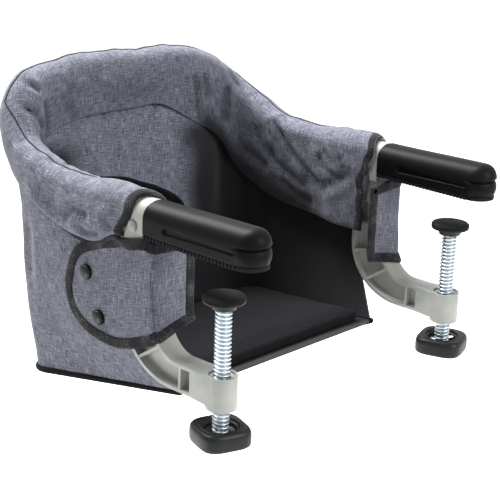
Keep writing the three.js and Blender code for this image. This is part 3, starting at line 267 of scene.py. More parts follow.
def stops(ramp, colours):
    """Sets a colour ramp's stops from (place, hex colour) pairs."""
    elements = ramp.color_ramp.elements
    while len(elements) < len(colours):
        elements.new(1)
    for element, (place, code) in zip(elements, colours):
        element.position = place
        element.color = linear(code)


def woven_melange(name, colours, coordinates="UV", specular=0.25, sheen=0.12):
    """Polyester linen-look cloth, plain-woven from two-tone yarn: dull, with short dark and pale slubs along both
    threads. Yarns of 0.35 mm are too fine to show here, so slubs are drawn 0.8 mm wide and 12 mm long. The attribute
    lining marks where the cloth turns black, partly black lining cloth and partly painted shade, and crease marks
    painted shade in a fold."""
    dull = {"Roughness": 0.92, "Specular IOR Level": specular, "Sheen Weight": sheen, "Sheen Roughness": 0.6}
    made, tree, shader = finish(name, dull)
    place = add(tree, "TexCoord").outputs[coordinates]
    slubs = []
    for per_metre in ((85, 1200, 1), (1200, 85, 1)):
        turned = add(tree, "Mapping", {"Vector": place, "Scale": per_metre}).outputs[0]
        slubs.append(add(tree, "TexNoise", {"Vector": turned, "Scale": 1.0, "Detail": 1.5, "Roughness": 0.6}))
    both = add(tree, "Math", {0: slubs[0].outputs[0], 1: slubs[1].outputs[0]}, operation="ADD")
    cloud = add(tree, "TexNoise", {"Vector": place, "Scale": 38.0, "Detail": 3.0})
    mixed = add(tree, "Math", {0: cloud.outputs[0], 1: 0.16, 2: both.outputs[0]}, operation="MULTIPLY_ADD")
    spread = add(tree, "MapRange", {"Value": mixed.outputs[0], "From Min": 0.79, "From Max": 1.37})
    ramp = add(tree, "ValToRGB", {0: spread.outputs[0]})
    stops(ramp, colours)
    # Towards black by the lining mark: black lining cloth and painted shade; towards #2b2c35 by the crease mark:
    # painted shade in folds.
    dark = add(tree, "Attribute", attribute_name="lining")
    fold = add(tree, "Attribute", attribute_name="crease")
    shaded = add(tree, "Mix", {0: fold.outputs["Fac"], 6: ramp.outputs[0], 7: linear("#2b2c35")}, data_type="RGBA")
    lining_and_painted_shade = add(tree, "Mix", {0: dark.outputs["Fac"], 6: shaded.outputs[2], 7: linear("#15161a")}, data_type="RGBA")
    bump = add(tree, "Bump", {"Height": both.outputs[0], "Strength": 0.35, "Distance": 0.0006})
    plug(tree, shader, {"Base Color": lining_and_painted_shade.outputs[2], "Normal": bump.outputs[0]})
    return made


def bias_binding():
    """Bias-cut polyester tape in charcoal and stone yarn: matt and speckled. Specks of 0.3 mm are drawn 1 mm."""
    made, tree, shader = finish("bias_binding", {"Roughness": 0.95, "Specular IOR Level": 0.2, "Sheen Weight": 0.08})
    place = add(tree, "TexCoord").outputs["Object"]
    speck = add(tree, "TexNoise", {"Vector": place, "Scale": 950.0, "Detail": 2.0})
    patch = add(tree, "TexNoise", {"Vector": place, "Scale": 60.0, "Detail": 2.0})
    mixed = add(tree, "Math", {0: patch.outputs[0], 1: 0.7, 2: speck.outputs[0]}, operation="MULTIPLY_ADD")
    spread = add(tree, "MapRange", {"Value": mixed.outputs[0], "From Min": 0.62, "From Max": 1.1})
    ramp = add(tree, "ValToRGB", {0: spread.outputs[0]})
    stops(ramp, [(0.0, "#0f0f12"), (0.45, "#1f1f22"), (0.75, "#37373a"), (1.0, "#666565")])
    bump = add(tree, "Bump", {"Height": speck.outputs[0], "Strength": 0.4, "Distance": 0.0005})
    plug(tree, shader, {"Base Color": ramp.outputs[0], "Normal": bump.outputs[0]})
    return made


def moulded(name, dark, light, roughness, grain_mm, strength, specular=0.5):
    """Moulded plastic or rubber: a near-even colour that drifts a little, over a spark-eroded grain. Its pits of about
    0.1 mm are drawn grain_mm wide, so that they show."""
    made, tree, shader = finish(name, {"Roughness": roughness, "Specular IOR Level": specular})
    place = add(tree, "TexCoord").outputs["Object"]
    drift = add(tree, "TexNoise", {"Vector": place, "Scale": 45.0, "Detail": 4.0})
    ramp = add(tree, "ValToRGB", {0: drift.outputs[0]})
    stops(ramp, [(0.3, dark), (0.7, light)])
    grain = add(tree, "TexNoise", {"Vector": place, "Scale": 1000 / grain_mm, "Detail": 1.0})
    worn = add(tree, "MapRange", {"Value": grain.outputs[0], "To Min": roughness - 0.06, "To Max": roughness + 0.08})
    bump = add(tree, "Bump", {"Height": grain.outputs[0], "Strength": strength, "Distance": 0.0002})
    plug(tree, shader, {"Base Color": ramp.outputs[0], "Roughness": worn.outputs[0], "Normal": bump.outputs[0]})
    return made


def zinc_plate():
    """Bright zinc-plated steel with a clear blue passivation: a metal with soft streaks and a cool tint. The
    attribute root marks the thread's grooves, which get painted shade: a darker blue-grey."""
    made, tree, shader = finish("zinc_plated_steel", {"Metallic": 1.0, "Roughness": 0.3})
    place = add(tree, "TexCoord").outputs["Object"]
    streak = add(tree, "TexNoise", {"Vector": place, "Scale": 420.0, "Detail": 3.0})
    ramp = add(tree, "ValToRGB", {0: streak.outputs[0]})
    stops(ramp, [(0.3, "#c8d5de"), (0.7, "#f0f6f9")])
    # Painted shade in the thread's grooves, mixed towards #7c8a95 by the root mark.
    root = add(tree, "Attribute", attribute_name="root")
    groove_shaded = add(tree, "Mix", {0: root.outputs["Fac"], 6: ramp.outputs[0], 7: linear("#7c8a95")}, data_type="RGBA")
    rough = add(tree, "MapRange", {"Value": streak.outputs[0], "To Min": 0.2, "To Max": 0.42})
    plug(tree, shader, {"Base Color": groove_shaded.outputs[2], "Roughness": rough.outputs[0]})
    return made


GREYS = [(0.0, "#393b46"), (0.36, "#5d5f6c"), (0.64, "#737581"), (1.0, "#9a9ca8")]
BLACKS = [(0.0, "#090a0b"), (0.5, "#101114"), (1.0, "#1a1b1f")]
MELANGE = woven_melange("woven_melange_polyester", GREYS)
LINING = woven_melange("woven_black_lining", BLACKS, coordinates="Object", specular=0.1, sheen=0.03)
PIPING = woven_melange("woven_dark_piping", [(0.0, "#1d1e25"), (0.5, "#2c2d36"), (1.0, "#45464f")])
BINDING = bias_binding()
# Nylon and ABS are satin, rubber and the board dull, acetal glossy; powder coat and paint are smooth and even
NYLON = moulded("glass_filled_nylon", "#9fa19b", "#b0b2ab", 0.42, 0.5, 0.18)
GRIP_ABS = moulded("satin_black_abs", "#08090a", "#0e0f11", 0.44, 0.6, 0.08, specular=0.08)
SOLE_RUBBER = moulded("black_sole_rubber", "#0c0d0e", "#141517", 0.72, 0.7, 0.3, specular=0.15)
KNOB_NYLON = moulded("satin_black_nylon", "#0d0e0f", "#141517", 0.4, 0.6, 0.14, specular=0.25)
SNAP_ACETAL = moulded("glossy_black_acetal", "#0b0c0e", "#121317", 0.26, 0.8, 0.05, specular=0.3)
BOARD_PP = moulded("black_polypropylene_board", "#101113", "#191a1c", 0.6, 0.8, 0.3)
TUBE_STEEL = moulded("powder_coated_steel", "#45474b", "#505256", 0.42, 0.4, 0.2)
BOLT_PAINT = moulded("grey_painted_steel", "#8b8d88", "#9a9c97", 0.34, 0.5, 0.1)
ZINC = zinc_plate()


def skin(name, grid, material, around=False, along=False, ends=False, marks=None, cloth=None):
    """A mesh over a grid of points in millimetres: rows run along the piece and columns across it, or around it.
    The UV map holds cloth, millimetres along both threads, or metres along the rows and, from the middle column,
    along the columns."""
    rows, columns = grid.shape[:2]
    steps = np.arange(rows if along else rows - 1), np.arange(columns if around else columns - 1)
    i, j = np.meshgrid(*steps, indexing="ij")
    row = np.stack([i, i + 1, i + 1, i], -1).reshape(-1, 4)
    column = np.stack([j, j, j + 1, j + 1], -1).reshape(-1, 4)
    faces = (row % rows) * columns + column % columns
    points = grid.reshape(-1, 3)
    wide = np.concatenate([grid, grid[:1]]) if along else grid
    wide = np.concatenate([wide, wide[:, :1]], axis=1) if around else wide
    lengthwise = np.concatenate([[0], np.cumsum(np.linalg.norm(np.diff(wide, axis=0), axis=-1).mean(1))])
    crosswise = np.cumsum(np.linalg.norm(np.diff(wide, axis=1), axis=-1), axis=1)
    crosswise = np.concatenate([np.zeros((len(wide), 1)), crosswise], axis=1)
    crosswise -= crosswise[:, [wide.shape[1] // 2]]
    uv = np.stack([np.broadcast_to(lengthwise[:, None], crosswise.shape), crosswise], -1) * MM
    if cloth is not None:
        uv = np.concatenate([cloth, cloth[:, :1]], axis=1) * MM
    corners = uv[row, column]
    if ends or (around and along):
        p = points[faces] - points.mean(0)
        volume = (p[:, 0] * (np.cross(p[:, 1], p[:, 2]) + np.cross(p[:, 2], p[:, 3]))).sum()
        if volume < 0:
            faces, corners = faces[:, ::-1], corners[:, ::-1]
    lists = faces.tolist()
    if ends:
        turn = 1 if volume > 0 else -1
        lists.append(list(range(columns))[::turn])
        lists.append(list(range((rows - 1) * columns, rows * columns))[::-turn])
        corners = np.concatenate([corners.reshape(-1, 2), uv[0, :columns], uv[-1, :columns]])
    mesh = bpy.data.meshes.new(name)
    mesh.from_pydata(points * MM, [], lists)
    mesh.uv_layers.new(name="UVMap").data.foreach_set("uv", corners.reshape(-1))
    mesh.polygons.foreach_set("use_smooth", np.ones(len(lists), bool))
    for key, values in (marks or {}).items():
        mesh.attributes.new(key, "FLOAT", "POINT").data.foreach_set("value", values.reshape(-1).astype(np.float32))
    mesh.materials.append(material)
    mesh.update()
    made = bpy.data.objects.new(name, mesh)
    bpy.context.collection.objects.link(made)
    return made


def band(name, centre, across, thick, half_width, half_thick, material, closed=False, around=14, power=3.2):
    """A tape or cord carried along a path: each section is a rounded oblong, centre + across times half_width times
    cos^(2/power) + thick times half_thick times sin^(2/power)."""
    c, s = rounded(ring(around), power)
    wide = np.broadcast_to(np.asarray(half_width, float), len(centre))[:, None, None]
    deep = np.broadcast_to(np.asarray(half_thick, float), len(centre))[:, None, None]
    grid = centre[:, None] + across[:, None] * wide * c[None, :, None] + thick[:, None] * deep * s[None, :, None]
    return skin(name, grid, material, around=True, along=closed, ends=not closed)


def hoop_frame(front_y, count):
    """The hoop's middle line from the left arm round the back to the right arm, with the level direction that
    points away from the seat and how steeply the section leans."""
    half = np.array(HOOP_HALF, float)
    half[0, 1] = front_y
    path = smooth_path(both_sides(half), count)
    along = unit(np.gradient(path, axis=0))
    level = np.hypot(along[:, 0], along[:, 1])
    out = np.stack([along[:, 1], -along[:, 0], np.zeros(count)], -1) / level[:, None]
    return path, out, 1 / level


# Folds in the sleeve: depth and width in millimetres, then the line that the fold follows. Those of the back run
# in x and z, those of the lining inside an arm and of an arm's outer side in y and z.
BACK_FOLDS = [
    (3.2, 3.4, [(-151, 109), (-142, 102), (-134, 96)]),
    (3.2, 3.6, [(-168, 84), (-157, 81), (-148, 77), (-141, 71), (-137, 65), (-132, 57)]),
    (2.6, 3.4, [(-123, 80), (-121, 70), (-121, 59), (-122, 46)]),
    (1.6, 4.5, [(-99, 84), (-94, 68)]),
    (2.0, 7.0, [(-86, 92), (-88, 76), (-82, 62)]),
    (1.3, 9.0, [(-30, 74), (6, 70), (30, 72)]),
    (2.8, 4.4, [(95, 78), (100, 57), (100, 34)]),
    (2.6, 4.0, [(110, 78), (114, 55)]),
    (2.8, 4.5, [(138, 60), (135, 40), (136, 26)]),
    (2.6, 4.2, [(149, 74), (152, 50)]),
]
LINING_FOLDS = [
    (2.9, 4.4, [(164, 31), (149, 13), (133, -2), (113, -15), (98, -24)]),
    (2.6, 5.0, [(171, -2), (162, -15), (147, -23), (134, -28), (123, -33)]),
    (2.6, 6.5, [(214, -6), (198, -13), (180, -21)]),
    (2.0, 4.0, [(93, 5), (85, -5), (70, -10)]),
    (1.9, 4.0, [(62, 9), (58, 2)]),
    (1.6, 4.0, [(84, 12), (71, 1)]),
    (2.9, 6.5, [(74, -20), (62, -12), (52, -6)]),
    (2.2, 6.5, [(114, -24), (98, -28), (84, -27)]),
    (1.8, 5.0, [(151, -36), (132, -46), (110, -50)]),
    (1.6, 6.0, [(190, 18), (182, 2), (172, -8)]),
]
ARM_FOLDS = [
    (2.4, 5.0, [(118, 0), (104, 7), (90, 6)]),
    (2.2, 4.5, [(98, -8), (86, -12), (73, -9)]),
    (1.6, 4.0, [(62, 9), (54, 2)]),
    (1.8, 7.0, [(158, 12), (140, 2), (122, -6)]),
]
# An arm's folds come again on the other arm, moved by this much
FOLD_SHIFT = np.array([-7.0, 3.0])
# Points across the sleeve's face: the leg outside, the arch, and the lining inside
LEG_POINTS, ARCH_POINTS, LINING_POINTS = 26, 40, 60
SLEEVE_ROWS = 421
ARCH = slice(LEG_POINTS, LEG_POINTS + ARCH_POINTS - 2)


def outer_hem(y):
    """Height of the sleeve's outer hem: smoothsteps down along the arm and up again towards the back."""
    return -4 - 17 * smoothstep(32, 95, y) + 24 * smoothstep(115, 205, y) + 27 * smoothstep(205, 257, y)


def rim_sleeve():
    """The padded sleeve over the hoop. Each section, in out and up from the tube's middle, is an arch
    (half cos, crest sin) with a leg hanging outside it and a leg inside that becomes the seat's lining; the legs'
    lengths, the arch's size and the slant of the front end change along the hoop by smoothsteps and bells."""
    path, out, lift = hoop_frame(SLEEVE_FRONT_Y, SLEEVE_ROWS)
    x, y = path[:, 0:1], path[:, 1:2]
    at_back = smoothstep(*REAR_TURN, y)
    near_corner = bell(x, -146, 34) * smoothstep(214, 244, y)
    shoulder = bell(y, 205, 32) * x / ARM_X
    front = bell(y, SLEEVE_FRONT_Y, 9)
    half = lerp(SLEEVE_FRONT_HALF, SLEEVE_ARM_HALF, smoothstep(*ARM_TAPER, y)) + SLEEVE_PADDING
    half = half + 3.0 * near_corner - 1.2 * front
    tucked = 11 * bell(np.abs(x), 160, 26) * smoothstep(175, 225, y)
    crest = lerp(SLEEVE_CRESTS[0], SLEEVE_CRESTS[1], smoothstep(*ARM_TAPER, y))
    crest = lerp(crest, SLEEVE_CRESTS[2] - 2 - 5 * smoothstep(-80, 60, x), at_back)
    crest = crest * lift[:, None] + 7 * near_corner + 3 * shoulder - 1.8 * front
    outer_hang = path[:, 2:3] - outer_hem(y)
    inner_hang = lerp(88, 47 + 27 * smoothstep(30, 115, x), at_back)
    spread = smoothstep(62, 125, y) * (1 - at_back)
    narrow = half - 2.8 * (1 - smoothstep(40, 90, y))
    inner_hem = lerp(half, 8, spread)

    def section(gap, legs, turns, lining):
        """Out and up of one side of the padding, gap away from the skin."""
        t = np.linspace(0, 1, legs)[None]
        belly = (3.2 * (1 - at_back) * smoothstep(36, 66, y)) * np.sin(np.pi * t) ** 0.8
        roll = 4.0 * np.clip(1 - t / 0.16, 0, 1) ** 2
        leg = lerp(half, narrow, t**1.5)
        outer = (leg - gap - tucked * (1 - t) + (belly - roll) * (gap == 0), -outer_hang * (1 - t))
        turn = np.linspace(0, np.pi, turns)[None, 1:-1]
        full = 1 - 0.3 * near_corner
        level = np.sign(np.cos(turn)) * np.abs(np.cos(turn)) ** full
        arch = ((narrow - gap) * level, (crest - gap) * np.sin(turn) ** full)
        s = np.linspace(0, 1, lining)[None]
        thin = lerp(gap, min(gap, 1.5), smoothstep(0.8, 1, s))
        inner = (thin - lerp(narrow, inner_hem, s**1.3), -inner_hang * s)
        return tuple(np.concatenate([outer[k] + 0 * y, arch[k] + 0 * y, inner[k] + 0 * y], 1) for k in (0, 1))

    def place(u, up):
        """Points of the section set on the hoop, with the slant of both front ends."""
        grid = path[:, None] + out[:, None] * u[..., None]
        grid[..., 2] += up
        side = u / (SLEEVE_FRONT_HALF + SLEEVE_PADDING)
        slant = SLEEVE_SLANT[0] * side - SLEEVE_SLANT[1] * side**2 + SLEEVE_SLANT[2] * smoothstep(0, 28, -up)
        grid[..., 1] += slant * (1 - smoothstep(SLEEVE_FRONT_Y, 80, y))
        return grid

    u, up = section(0, LEG_POINTS, ARCH_POINTS, LINING_POINTS)
    face = place(u, up)
    away = grid_normals(face)
    outward = (away * out[:, None] * u[..., None]).sum(-1) + away[..., 2] * np.maximum(up, 0)
    away = away * np.sign(outward.mean())
    column = np.arange(u.shape[1])[None]
    inside = smoothstep(LEG_POINTS + ARCH_POINTS * 0.42, LEG_POINTS + ARCH_POINTS * 0.62, column) + 0 * u
    far = np.where(face[..., 0] > 0, 1.0, 0.0)
    along_arm = 1 - smoothstep(212, 228, face[..., 1])
    in_arm, on_arm = inside * along_arm, (1 - inside) * along_arm
    depth, shade = np.zeros(u.shape), np.zeros(u.shape)
    for folds, axes, shift, mask in (
        (BACK_FOLDS, (0, 2), 0, inside * (1 - along_arm)),
        (LINING_FOLDS, (1, 2), 0, in_arm * far),
        (ARM_FOLDS, (1, 2), 0, on_arm * (1 - far)),
        (LINING_FOLDS, (1, 2), FOLD_SHIFT, in_arm * (1 - far)),
        (ARM_FOLDS, (1, 2), FOLD_SHIFT, on_arm * far),
    ):
        pressed, dark = creases(face[..., axes] - shift, folds)
        depth, shade = depth + pressed * mask, shade + dark * mask
    along = np.linspace(0, 76, len(path))[:, None] + 0 * u
    girth = np.linspace(0, 12, u.shape[1])[None] + 0 * u
    soft = 0.75 * ripple(along * 0.22, girth * 0.2, 3) + 0.35 * ripple(along * 0.5, girth * 0.45, 4)
    rim = between((0, 0.05), (0.96, 1), np.linspace(0, 1, u.shape[1]))[None]
    edge = rim * smoothstep(0, 12, np.linspace(0, 1, len(path)) * 760)[:, None]
    face = face + away * (soft * edge - np.clip(depth, -1.5, 3.6) * rim)[..., None]
    back = place(*section(SLEEVE_PADDING, 8, 14, 18))[:, ::-1]
    grid = np.concatenate([face, back], 1)
    # Lining mark, mixed towards black: partly black lining cloth, partly painted shade. The soft diagonal edge that
    # darkens the lower rear of the inner lining is partly black lining, partly painted shade.
    limit = -32 + 0.62 * (face[..., 1] - 195)
    dark = 1 - smoothstep(-20, 20, face[..., 2] - limit)
    hem_share = np.clip((column - LEG_POINTS - ARCH_POINTS + 2) / LINING_POINTS, 0, 1)
    # Painted shade in the rear corner behind the arm: this mask is used on the far side (x > 0) only.
    painted_corner_shade = smoothstep(84, 118, np.abs(face[..., 0])) * smoothstep(200, 226, face[..., 1])
    painted_corner_shade = np.maximum(painted_corner_shade, smoothstep(70, 125, face[..., 1]) * (np.abs(face[..., 0]) > 130))
    dark = np.maximum(dark, smoothstep(0.45, 0.95, hem_share) * painted_corner_shade * far)
    # Black lining cloth low inside the seat, below about z = -60.
    dark = np.maximum(dark, 1 - smoothstep(-72, -50, face[..., 2]))
    # Painted shade: a light darkening, 0.22, over all the inner lining.
    dark = np.maximum(dark, 0.22 * smoothstep(0.06, 0.3, hem_share)) * inside
    pad = np.ones(back.shape[:2])
    marks = {
        "lining": np.concatenate([dark, pad], 1),
        "crease": np.concatenate([np.clip(0.7 * shade, 0, 1), 0 * pad], 1),
    }
    made = skin("rim_sleeve_cover", grid, MELANGE, around=True, ends=True, marks=marks)
    return made, face, away, back[:, ::-1]


def base_z(y):
    """Height of the base's under edge: a slope down towards the back."""
    return BASE_FRONT_Z - BASE_TILT * (y - BASE_FRONT[1])


def base_edge(inset, count):
    """Half of the base's edge from a front corner to the middle of the back: a straight side, a quarter circle
    and a straight back, all moved in by inset."""
    half, rear, corner = BASE_REAR_HALF - inset, BASE_REAR_Y - inset, BASE_CORNER - inset
    turn = np.linspace(0, np.pi / 2, 40)
    arc = np.stack([half - corner + corner * np.cos(turn), rear - corner + corner * np.sin(turn)], -1)
    return spaced(np.vstack([[BASE_FRONT[0] - inset, BASE_FRONT[1]], arc, [0, rear]]), count)


def base_line(inset, lift):
    """The base's whole edge, moved in by inset and raised by lift above its under side."""
    flat = both_sides(base_edge(inset, 160))
    return np.concatenate([flat, base_z(flat[:, 1:2]) + lift], 1)


WALL_ROWS = 90
WALL_STEPS = 1201
WALL_PATH, WALL_OUT, _ = hoop_frame(WALL_FRONT_Y, 2 * WALL_STEPS - 1)
WALL_EDGE = base_edge(0, WALL_STEPS)
WALL_EDGE_ALONG = unit(np.gradient(WALL_EDGE, axis=0))


def wall_face(share, height, inset, drape):
    """Points of the bucket's wall on the left half, share along it from the arm (0) to the middle of the back (1)
    and height from the base (0) to the tube (1): the base's edge and the hoop's outer side joined by the curve
    1 - (1 - height)^tuck, stepped in by inset, with drape added outwards."""
    at = share * (WALL_STEPS - 1)
    known = np.arange(WALL_STEPS)
    lines = (WALL_PATH, WALL_OUT, WALL_EDGE, WALL_EDGE_ALONG)
    centre, out, edge, run = (sample(at, known, line[:WALL_STEPS]) for line in lines)
    standoff = TUBE_RADIUS + WALL_STANDOFF + WALL_THICKNESS - inset
    tuck = lerp(4, 1.3, smoothstep(0.15, 0.6, share))
    reach = (1 - (1 - height) ** tuck)[..., None]
    low = edge + np.stack([-run[..., 1], run[..., 0]], -1) * inset[..., None]
    high = centre[..., :2] + out[..., :2] * standoff[..., None]
    flat = lerp(low, high, reach) + out[..., :2] * drape[..., None]
    z = lerp(base_z(edge[..., 1]), centre[..., 2], height)
    return np.concatenate([flat, z[..., None]], -1)


def wall(name, start, end, columns, padding, side):
    """A stretch of the wall as cloth with two faces, from share start to share end (past 1 it runs on to the other
    side). The outer face has shallow drag folds, sine waves that fade to the base and the rim; padding thickens it
    towards the seat by 1 - (1 - height)^2.2, fading at the rim and at the stretch's ends."""
    share = np.linspace(start, end, columns)[:, None]
    height = np.linspace(0, 1, WALL_ROWS)[None]
    share, height = share + 0 * height, height + 0 * share
    folded = np.where(share > 1, 2 - share, share)
    inland = smoothstep(CORNER_SHARE, CORNER_SHARE + 0.16, folded)
    clear = between((0, 0.1), (0.85, 1), height)
    drag = between((0.3, 0.5), (0.62, 0.78), height) * smoothstep(0.3, 0.45, folded)
    drape = 1.8 * drag * np.sin(2 * np.pi * (9 * folded + 1.5 * height))
    drape = drape + 0.8 * clear * (ripple(folded * 5, height * 3, 21) + inland * ripple(share * 7, height * 4, 31))
    drape = drape - 7 * between((0.25, 0.6), (0.8, 0.94), height) * bell(folded, 0.5, 0.17)
    pucker = 0.35 * ripple(folded * 70, height * 2, 22) * bell(height, 0.04, 0.05)
    drape = drape + pucker * smoothstep(0, 0.03, height)
    fill = padding * (1 - (1 - height) ** 2.2) * (1 - smoothstep(0.8, 0.9, height)) * inland
    outer = wall_face(folded, height, 0 * height, drape)
    inner = wall_face(folded, height, WALL_THICKNESS + 0 * height, drape)
    inner = inner + (inner - outer) / WALL_THICKNESS * fill[..., None] * np.array([1, 1, 0])
    flip = np.where(share > 1, -1.0, 1.0)[..., None] * np.array([1, 0, 0]) + np.array([0, 1, 1])
    outer, inner = outer * flip * side, inner * flip * side
    dark = np.ones(share.shape)
    # Lining mark of the inner face: the side walls' inner faces are black lining cloth. On the back, the black below z
    # = -96 to -70 mm is black lining cloth, and the black towards both rear corners (|x| past about 60 to 104 mm, up to
    # z = 14 to 40 mm) is painted shade.
    if padding:
        wander = np.abs(inner[..., 0]) + 3 * np.sin(inner[..., 2] / 11)
        dark = smoothstep(60, 104, wander) * (1 - smoothstep(14, 40, inner[..., 2]))
        dark = np.maximum(dark, 1 - smoothstep(-96, -70, inner[..., 2]))
    grid = np.concatenate([outer, inner[:, ::-1]], 1)
    marks = {"lining": np.concatenate([0 * dark, dark[:, ::-1]], 1)}
    run = np.cumsum(np.linalg.norm(np.diff(outer[..., :2], axis=0, prepend=outer[:1, :, :2]), axis=-1), axis=0)
    run = run - run[columns // 2] if padding else run + outer[:1, :, 1]
    cloth = np.stack([np.concatenate([run, run[:, ::-1]], 1), grid[..., 2]], -1)
    return skin(name, grid, MELANGE, around=True, ends=True, marks=marks, cloth=cloth)


def flap_bend(distance, z):
    """Depth (y) of the cloth in front of the bracket's spine: straight, then a quarter ellipse towards the jaw."""
    drop = np.minimum((z - JAW_TOP - INNER_BEND[1]) / (INNER_BEND[1] - distance), 0)
    return SPINE_FRONT_Y - INNER_BEND[0] + (INNER_BEND[0] - distance) * np.sqrt(1 - np.clip(drop, -1, 0) ** 2)


def thinned(line, partner, step):
    """A closed line and what goes with each of its points, spaced evenly about a step apart."""
    loop, with_it = (np.vstack([rows, rows[:1]]) for rows in (line, partner))
    length = travelled(loop)
    at = np.linspace(0, length[-1], int(length[-1] / step), endpoint=False)
    return sample(at, length, loop), unit(sample(at, length, with_it))


# Upper and lower edge of the flap's leaf, in y and z, from the spine to its tip
FLAP_TIP = (127.6, -70)
FLAP_TOP = [
    (0.7, -3), (13, -0.5), (30, -4.5), (54, -8.8), (75.5, -15), (100.5, -25.2), (112.5, -33.2), (121.5, -48), FLAP_TIP,
]
FLAP_LOW = [(42.6, -118), (70.4, -120), (101.1, -113.3), (118.9, -99.8), (126.7, -82), FLAP_TIP]


def flap(side, label):
    """The fabric leaf that wraps the bracket's spine. Across, each line runs from the leaf's upper edge to its lower
    edge; along, it starts in front of the spine, turns a rounded corner, steps out over the neck's lower edge by a
    smoothstep of the height, and narrows to the leaf's tip."""
    mid, corner_radius, low_front = 1.4, 4.0, -100.0
    rows, columns = 70, 40
    top = smooth_path(FLAP_TOP, rows)
    low = smooth_path([(flap_bend(mid, low_front), low_front), *FLAP_LOW], rows)
    across = np.linspace(0, 1, columns)[None]
    leaf = lerp(top[:, None], low[:, None], across[..., None])
    swell = 0.5 * np.sin(np.pi * np.linspace(0, 1, rows))[:, None] * np.sin(np.pi * across)
    sag = ripple(np.linspace(0, 4, rows)[:, None] + 0 * swell, 3 * across + 0 * swell, 12) * swell
    over_neck = smoothstep(NECK_BOTTOM - 8, NECK_BOTTOM - 1, leaf[..., 1]) * (1 - smoothstep(44, 58, leaf[..., 0]))
    over_neck = over_neck * smoothstep(6, 14, leaf[..., 0])
    leaf_x = FLAP_FACE_X - FLAP_THICKNESS / 2 + 0.5 * sag + 4.6 * over_neck
    leaf = np.concatenate([leaf_x[..., None], leaf], -1)
    end_x = FLAP_FACE_X - FLAP_THICKNESS / 2 - corner_radius
    turn_x = np.linspace(FLAP_RETURN_HALF, end_x, 24)[:, None]
    share = (turn_x - FLAP_RETURN_HALF) / (FLAP_FACE_X - FLAP_RETURN_HALF)
    z = lerp(lerp(-7.0, -3.0, share), lerp(-89.0, low_front, share), across)
    turn = np.stack([turn_x + 0 * z, flap_bend(mid, z), z], -1)
    angle = np.linspace(0, np.pi / 2, 8)[1:-1, None]
    corner_x = end_x + corner_radius * np.sin(angle) + 0 * z[:1]
    corner_y = flap_bend(mid, z[-1:]) + corner_radius * (1 - np.cos(angle))
    corner = np.stack([corner_x, corner_y, z[-1:] + 0 * corner_x], -1)
    grid = np.concatenate([turn, corner, leaf[3:]]) * side
    made = skin("flap_leaf_" + label, grid, MELANGE)
    wall_of_cloth = made.modifiers.new("cloth", "SOLIDIFY")
    wall_of_cloth.thickness = FLAP_THICKNESS * MM
    wall_of_cloth.offset = 0
    rim = np.vstack([grid[:, 0], grid[-1, 1:-1], grid[::-1, -1], grid[0, -2:0:-1]])
    away = grid_normals(grid)
    away_rim = np.vstack([away[:, 0], away[-3, 1:-1], away[::-1, -1], away[0, -2:0:-1]])
    rim, away_rim = thinned(rim, away_rim, 2.0)
    ahead = unit(np.roll(rim, -1, 0) - np.roll(rim, 1, 0))
    inward = unit(np.cross(away_rim, ahead))
    inward = inward * np.sign((inward * (rim.mean(0) - rim)).sum(-1).mean())
    inset, half, deep = 5.0, 5.8, 2.3
    centre = rim + inward * inset
    tape = band("flap_binding_" + label, centre, inward, unit(away_rim), half, deep, BINDING, closed=True)
    return made, tape


def thread_screw(side, label):
    """A rolled thread: radius = root + depth times a rounded wedge of (height / pitch - angle / turn), which winds
    one pitch a turn and dies away at both ends."""
    z = np.linspace(*SCREW_SPAN, 560)[:, None]
    angle = ring(40)[None]
    phase = (z / THREAD_PITCH - angle / (2 * np.pi)) % 1
    wedge = np.clip(1.5 - 4.0 * np.abs(phase - 0.5), 0, 1)
    ends = smoothstep(0, 3, z - SCREW_SPAN[0]) * smoothstep(0, 3, SCREW_SPAN[1] - z)
    radius = SCREW_RADIUS - THREAD_DEPTH + THREAD_DEPTH * wedge * ends - 0.8 * (1 - ends)
    grid = np.stack([ARM_X + radius * np.cos(angle), SCREW_Y + radius * np.sin(angle), z + 0 * angle], -1)
    # Root mark: painted shade in the thread's grooves.
    marks = {"root": (1 - wedge) * ends * 0.9}
    made = skin("screw_thread_" + label, grid * side, ZINC, around=True, ends=True, marks=marks)
    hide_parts("clamp_screw_" + label)
    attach(made, "screw_" + label)


KNOB_TURN = np.radians(19)
# Half width, height and squareness of the knob's rings, from the middle of its underside to the bottom of the socket
KNOB_RINGS = [
    (0.5, -179, 3.6), (16, -179, 3.6), (22.4, -179, 3.6), (24.2, -178.6, 3.6), (25.2, -177.6, 3.6),
    (25.6, -176, 3.6), (25.7, -172, 3.6), (25.7, -168, 3.6), (25.5, -166, 3.6), (25, -164.2, 3.6),
    (24.2, -162.8, 3.6), (23.2, -161.8, 3.5), (22.3, -161.3, 3.4), (21.5, -161.5, 3.2), (20.7, -161.8, 2.9),
    (20, -161.5, 2.6), (19.3, -161.1, 2.4), (18.6, -161, 2.2), (18, -161.4, 2.1), (17.5, -162.3, 2),
    (17.1, -163.4, 2), (16.4, -163.9, 2), (15.5, -164, 2), (15, -164.5, 2), (14.7, -166, 2), (14.5, -167.5, 2),
    (13.8, -168, 2), (9, -168, 2), (8.4, -168.2, 2), (8.3, -169, 2), (8.3, -176, 2), (0.5, -176, 2),
]


